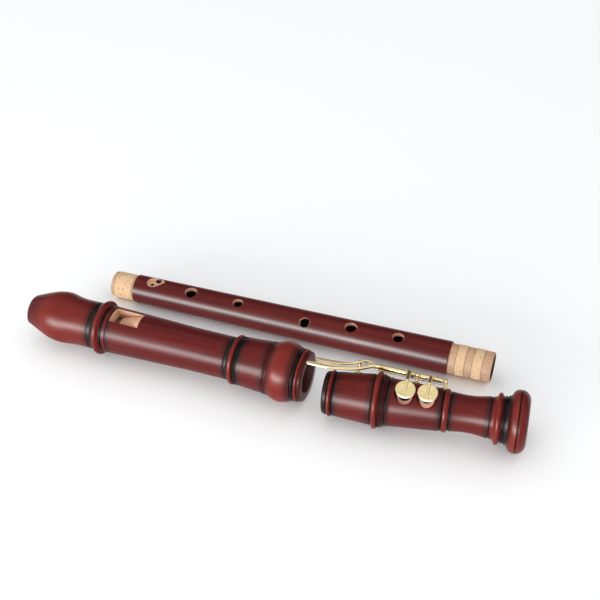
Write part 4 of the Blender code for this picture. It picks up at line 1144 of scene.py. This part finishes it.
def lower_lever_stations():
    """The thin rod that runs on behind the upper tube, and its lug on the lower tube."""
    run, out, over = LEVER_ROD_RADIUS, -1.8, -2.95
    tube_start = (POSTS["middle"] + BALL_RADIUS + GAP) / mm
    lug_end = tube_start + LOWER_TUBE_LUG
    return LOWER_TOUCH + (
        (37, out, over, run, run, 0), (tube_start, out, over, run, run, 0),
        (tube_start + 1, out + 0.3, over + 0.5, run + 0.4, run + 0.4, 0),
        (lug_end - 0.6, out + 0.3, over + 0.5, run + 0.4, run + 0.4, 0),
        (lug_end, out + 0.3, over + 0.4, run, run, 0),
    )


def touch_section(x, out, over, half_width, half_thickness, lean):
    """A rounded ring, square to the hinge line."""
    ring = []
    leaning = TOUCH_LEAN * lean
    for i in range(TOUCH_CORNERS):
        turn = 2 * math.pi * (i + 0.5) / TOUCH_CORNERS
        c, s = math.cos(turn), math.sin(turn)
        across = half_width * math.copysign(abs(c) ** TOUCH_ROUNDING, c)
        thick = half_thickness * math.copysign(abs(s) ** TOUCH_ROUNDING, s)
        ring.append(by_hinge(
            x * mm,
            (out + thick * math.cos(leaning) - across * math.sin(leaning)) * mm,
            (over + across * math.cos(leaning) + thick * math.sin(leaning)) * mm,
        ))
    return ring


def make_touch(name, stations, clear_start, clear_end, body):
    sections = [touch_section(*station) for station in smooth(stations, 6)]
    touch = piece_from(swept(sections), f"{name}_touch_brass", BRASS, sharp=BRASS_SHARP)
    clear = bar(by_hinge(clear_start), by_hinge(clear_end), TUBE_RADIUS + TUBE_CLEARANCE, 64)
    carve(touch, [piece_from(clear, f"cut_{name}_clear", BRASS)])
    touch.data.transform(FOOT_PLACE)
    put_on(touch, body, f"{name}_key_touch")


make_touch("upper", UPPER_TOUCH, 24 * mm, 44 * mm, "upper_key")
make_touch("lower", lower_lever_stations(), POSTS["middle"] + BALL_RADIUS - 0.7 * mm,
           POSTS["lower"] - BALL_RADIUS - GAP, "lower_key")

# %% Tubes
UPPER_TUBE_START = 32.5 * mm


def make_tube(name, start, end, body):
    length, inner, outer = to_mm((by_hinge(end) - by_hinge(start)).length, ROD_RADIUS + GAP, TUBE_RADIUS)
    ease = 0.15
    outline = in_mm((0, inner), (0, outer - ease), (ease, outer)) + straight((1, outer), (length - 1, outer))
    bm = turned(outline + in_mm((length - ease, outer), (length, outer - ease), (length, inner)), 48)
    bm.transform(facing(by_hinge(start), HINGE_ALONG))
    tube = piece_from(bm, f"{name}_tube_brass", BRASS, FOOT_PLACE)
    put_on(tube, body, f"{name}_key_tube")


make_tube("upper", UPPER_TUBE_START, POSTS["middle"] - BALL_RADIUS - GAP, "upper_key")
make_tube("lower", POSTS["middle"] + BALL_RADIUS + GAP, POSTS["lower"] - BALL_RADIUS - GAP, "lower_key")

# %% [markdown]
# The arm is a strap that bends over the tube and runs down onto the cup, narrower and narrower. The cup
# holds the pad in a shallow rim. Both are made with the pad closed and then swung open.

# %% Arms, cups and pads
PAD_RADIUS = 6.5 * mm
PAD_THICKNESS = 2.6 * mm
CUP_WALL = 0.4 * mm
CUP_RIM = 0.5 * mm
CUP_RADIUS = PAD_RADIUS + GAP + CUP_WALL
ARM_THICKNESS = 1.0 * mm
ARM_WIDTHS = (4.4 * mm, 1.5 * mm)
ARM_THINNING = 0.75  # how much thinner the strap's tip is
ARM_TIP = 0.3 * mm
ARM_TIP_HEIGHT = 0.05 * mm
ARM_CORNERS = 20


def arm_line(x):
    """The arm's middle line in Y and Z, with the pad closed."""
    level = SEAT_HEIGHT + 2 * GAP + PAD_THICKNESS + CUP_WALL + GAP + ARM_THICKNESS / 2
    hold = TUBE_RADIUS + GAP + ARM_THICKNESS / 2
    line = []
    for turn in (-25, 0, 25, 50):
        angle = math.radians(turn)
        line.append(by_hinge(x, hold * math.cos(angle), hold * math.sin(angle)))
    line.append(by_hinge(x, hold * 0.25, hold * 2.0))
    line = [(point.y, point.z) for point in line]
    return line + [
        (CUP_RADIUS + 4.2 * mm, level - 1.6 * mm), (CUP_RADIUS + 1.2 * mm, level - 0.25 * mm),
        (CUP_RADIUS - 1.0 * mm, level), (0, level), (-CUP_RADIUS * 0.62, level),
    ]


def arm_section(x, point, run, width, height):
    """A strap's section: nearly flat below, rounded above, square to the line."""
    normal = Vector((-run.y, run.x))
    ring = []
    for i in range(ARM_CORNERS):
        turn = 2 * math.pi * (i + 0.5) / ARM_CORNERS
        c, s = math.cos(turn), math.sin(turn)
        across = width / 2 * math.copysign(abs(c) ** 0.45, c)
        up = height * s**0.75 - ARM_THICKNESS / 2 if s > 0 else -ARM_THICKNESS / 2 - 0.2 * mm * abs(s) ** 0.25
        place = point + normal * up
        ring.append((x + across, place.x, place.y))
    return ring


def make_arm(name, x, body):
    line = [Vector(point) for point in smooth(arm_line(x), 6)]
    sections = []
    last = len(line) - 1
    for i, point in enumerate(line):
        run = (line[min(i + 1, last)] - line[max(i - 1, 0)]).normalized()
        width = ARM_WIDTHS[0] + (ARM_WIDTHS[1] - ARM_WIDTHS[0]) * i / last
        height = ARM_THICKNESS * (1 - ARM_THINNING * (i / last) ** 3)
        sections.append(arm_section(x, point, -run, width, height))
    tip = line[last] + (line[last] - line[last - 1]).normalized() * ARM_TIP
    sections.append(arm_section(x, tip, -run, ARM_WIDTHS[1] * 0.5, ARM_TIP_HEIGHT))
    bm = swept(sections)
    bm.transform(opened())
    arm = piece_from(bm, f"{name}_arm_brass", BRASS, FOOT_PLACE, BRASS_SHARP)
    put_on(arm, body, f"{name}_key_arm")


def disc_place(x):
    """Where a pad or a cup lies: on its seat and swung open, with its X pointing up."""
    return opened() @ Matrix.Translation((x, 0, SEAT_HEIGHT + GAP)) @ Matrix.Rotation(-math.pi / 2, 4, "Y")


def cup_brass(name, place):
    """Brass with the faint rings that the lathe left on the cup's flat top."""
    made, tree, shader = new_finish(name, 0.2, 1.0)
    own = own_coordinates(tree, place)
    rings = tree.nodes.new("ShaderNodeTexWave")
    rings.wave_type = "RINGS"
    rings.rings_direction = "X"
    rings.inputs["Scale"].default_value = 420.0
    rings.inputs["Distortion"].default_value = 0.6
    tree.links.new(own, rings.inputs["Vector"])
    clouds = noise(tree, own, 160.0, 3.0)
    colour = mix(tree, rising(tree, clouds, 0.35, 0.7), BRASS_PALE, BRASS_DEEP)
    tree.links.new(colour, shader.inputs["Base Color"])
    tree.links.new(remap(tree, clouds, 0.3, 0.7, 0.15, 0.26), shader.inputs["Roughness"])
    bump(tree, shader, rings.outputs["Fac"], 0.006 * mm, 0.25)
    return made


def make_cup_and_pad(name, x, body):
    under, top, inner, outer, rim, radius, thick = to_mm(
        PAD_THICKNESS + GAP, PAD_THICKNESS + GAP + CUP_WALL, PAD_RADIUS + GAP, CUP_RADIUS,
        PAD_THICKNESS + GAP - CUP_RIM, PAD_RADIUS, PAD_THICKNESS)
    turns = [math.radians(turn) for turn in range(0, 91, 15)]
    crown = top - 0.04
    cup = [(under, 0), (under, inner), (rim, inner), (rim, outer - 0.12), (rim + 0.12, outer)]
    cup += [(top - 0.45 * (1 - math.sin(turn)), outer - 0.5 * (1 - math.cos(turn))) for turn in turns]
    cup += [(crown, outer - 0.9), (crown, outer * 0.5), (crown, 0)]
    place = FOOT_PLACE @ disc_place(x)
    finish = cup_brass(f"{name}_cup_finish", place)
    made = piece_from(turned(in_mm(*cup), 96), f"{name}_cup_brass", finish, place)
    put_on(made, body, f"{name}_key_cup")
    pad = in_mm((0.05, 0), (0.05, radius * 0.7)) + sweep([
        (0.1, radius - 0.5), (0.3, radius + 0.05), (0.9, radius + 0.3), (1.7, radius + 0.25), (2.1, radius),
        (thick - 0.1, radius - 0.2),
    ], 3) + in_mm((thick, radius - 0.6), (thick, 0))
    made = piece_from(turned(pad, 96), f"{name}_pad_leather", LEATHER, place)
    put_on(made, body, f"{name}_key_pad")


for name, body in (("upper", "upper_key"), ("lower", "lower_key")):
    make_arm(name, TONE_HOLES[name][0], body)
    make_cup_and_pad(name, TONE_HOLES[name][0], body)

# %% [markdown]
# ## The springs
#
# The two needle springs are hidden under the tubes. Their CAD shapes are right, so they only get steel.

# %% Finish the springs
for name in ("upper_key_spring", "lower_key_spring"):
    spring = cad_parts[name]
    for slot in spring.material_slots:
        slot.material = STEEL
    print(name, "is steel")

# %% [markdown]
# ## Floor, light and camera
#
# The joints lie on a plain pale floor. A wide soft strip of light stands low in front, and the middle
# joint has the same strip to itself, so that the joints in front of it don't dim it. A second pair of
# strips in the same place is only mirrored by the stained wood and leaves the long pale highlight along
# it. The world lights everything evenly and fills the shadows. Mirrored rays also see a darker panel in
# it, low at the back, which keeps the top of the wood deep.

# %% Floor
FLOOR_REACH = 4.0
FLOOR_DROP = 0.2 * mm


def make_floor():
    bm = bmesh.new()
    bmesh.ops.create_grid(bm, x_segments=1, y_segments=1, size=FLOOR_REACH)
    bmesh.ops.translate(bm, vec=(0, 0, -FLOOR_DROP), verts=bm.verts)
    finish, tree, shader = new_finish("pale_floor", 0.9)
    shade = noise(tree, tree.nodes.new("ShaderNodeTexCoord").outputs["Object"], 3.0)
    tree.links.new(mix(tree, shade, (0.92, 0.92, 0.92), (0.93, 0.93, 0.93)), shader.inputs["Base Color"])
    shader.inputs["Specular IOR Level"].default_value = 0.1
    made = piece_from(bm, "floor", finish)


make_floor()

# %% Light


def soft_light(name, centre, target, width, height, power):
    light = bpy.data.lights.new(name, "AREA")
    light.shape = "RECTANGLE"
    light.size, light.size_y = width, height
    light.energy = power
    lamp = bpy.data.objects.new(name, light)
    bpy.context.scene.collection.objects.link(lamp)
    lamp.location = centre
    lamp.rotation_euler = (Vector(target) - Vector(centre)).to_track_quat("-Z", "Y").to_euler()
    return lamp


def link_light(lamp, receivers, blockers=()):
    """Lets the lamp light only the receivers and, if blockers are given, lets only those cast its shadows."""
    lit = bpy.data.collections.new(lamp.name + "_receivers")
    for thing in receivers:
        lit.objects.link(thing)
    lamp.light_linking.receiver_collection = lit
    if blockers:
        shading = bpy.data.collections.new(lamp.name + "_blockers")
        for thing in blockers:
            shading.objects.link(thing)
        lamp.light_linking.blocker_collection = shading


STRIP = ((-0.35, -1.35, 0.245), (0, 0, 0.02), 1.7, 0.45)  # centre, target, width and height
STRIP_POWER = 25
SHINE_POWERS = (72, 150)  # in front, and for the middle joint alone
meshes = [thing for thing in bpy.data.objects if thing.type == "MESH"]
middle_names = ("middle_wood", "foot_tenon_cork", "head_tenon_cork")
middle_group = [thing for thing in meshes if thing.name.startswith(middle_names)]
others = [thing for thing in meshes if thing not in middle_group]
wooden = ("middle_wood", "head_wood", "foot_wood")
for name, receivers, blockers, power in zip(
    ("front", "middle"), (others, middle_group), ((), middle_group), SHINE_POWERS,
):
    link_light(soft_light(name + "_light", *STRIP, STRIP_POWER), receivers, blockers)
    shine = soft_light(name + "_shine", *STRIP, power)
    shine.visible_diffuse = False
    link_light(shine, [thing for thing in receivers if thing.name.startswith(wooden)], blockers)
    print(name, "strip lights", len(receivers), "pieces")


WORLD_COLOUR = (0.98, 0.99, 1.0)
WORLD_STRENGTH = 0.98
PANEL_COLOUR = (0.10, 0.10, 0.11)
PANEL_BEHIND = (0.25, 0.55)  # where the panel begins towards the back, as a direction's Y
PANEL_TOP = (0.72, 0.88)  # where it ends upwards, as a direction's Z


def soft_world():
    """Even light all round. Only mirrored, a darker panel low at the back keeps the top of the wood deep."""
    world = bpy.data.worlds.new("studio")
    bpy.context.scene.world = world
    world.use_nodes = True
    tree = world.node_tree
    direction = tree.nodes.new("ShaderNodeSeparateXYZ")
    tree.links.new(tree.nodes.new("ShaderNodeTexCoord").outputs["Generated"], direction.inputs[0])
    behind = remap(tree, direction.outputs["Y"], *PANEL_BEHIND, 0.0, 1.0)
    low = remap(tree, direction.outputs["Z"], *PANEL_TOP, 1.0, 0.0)
    mirrored = tree.nodes.new("ShaderNodeLightPath").outputs["Is Glossy Ray"]
    panel = arithmetic(tree, "MULTIPLY", arithmetic(tree, "MULTIPLY", behind, low), mirrored)
    background = tree.nodes["Background"]
    tree.links.new(mix(tree, panel, WORLD_COLOUR, PANEL_COLOUR), background.inputs["Color"])
    background.inputs["Strength"].default_value = WORLD_STRENGTH


soft_world()

# %% Camera
camera = bpy.data.cameras.new("camera")
camera.lens = 65.4
camera.sensor_width = 36
LOOKING = Vector((-0.2535, 0.7392, -0.6239))
viewer = bpy.data.objects.new("camera", camera)
bpy.context.scene.collection.objects.link(viewer)
viewer.location = (218.33 * mm, -583.48 * mm, 562.58 * mm)
viewer.rotation_euler = LOOKING.to_track_quat("-Z", "Y").to_euler()
bpy.context.scene.camera = viewer
bpy.context.scene.view_settings.view_transform = "Standard"
print("camera at", [round(v, 3) for v in viewer.location])
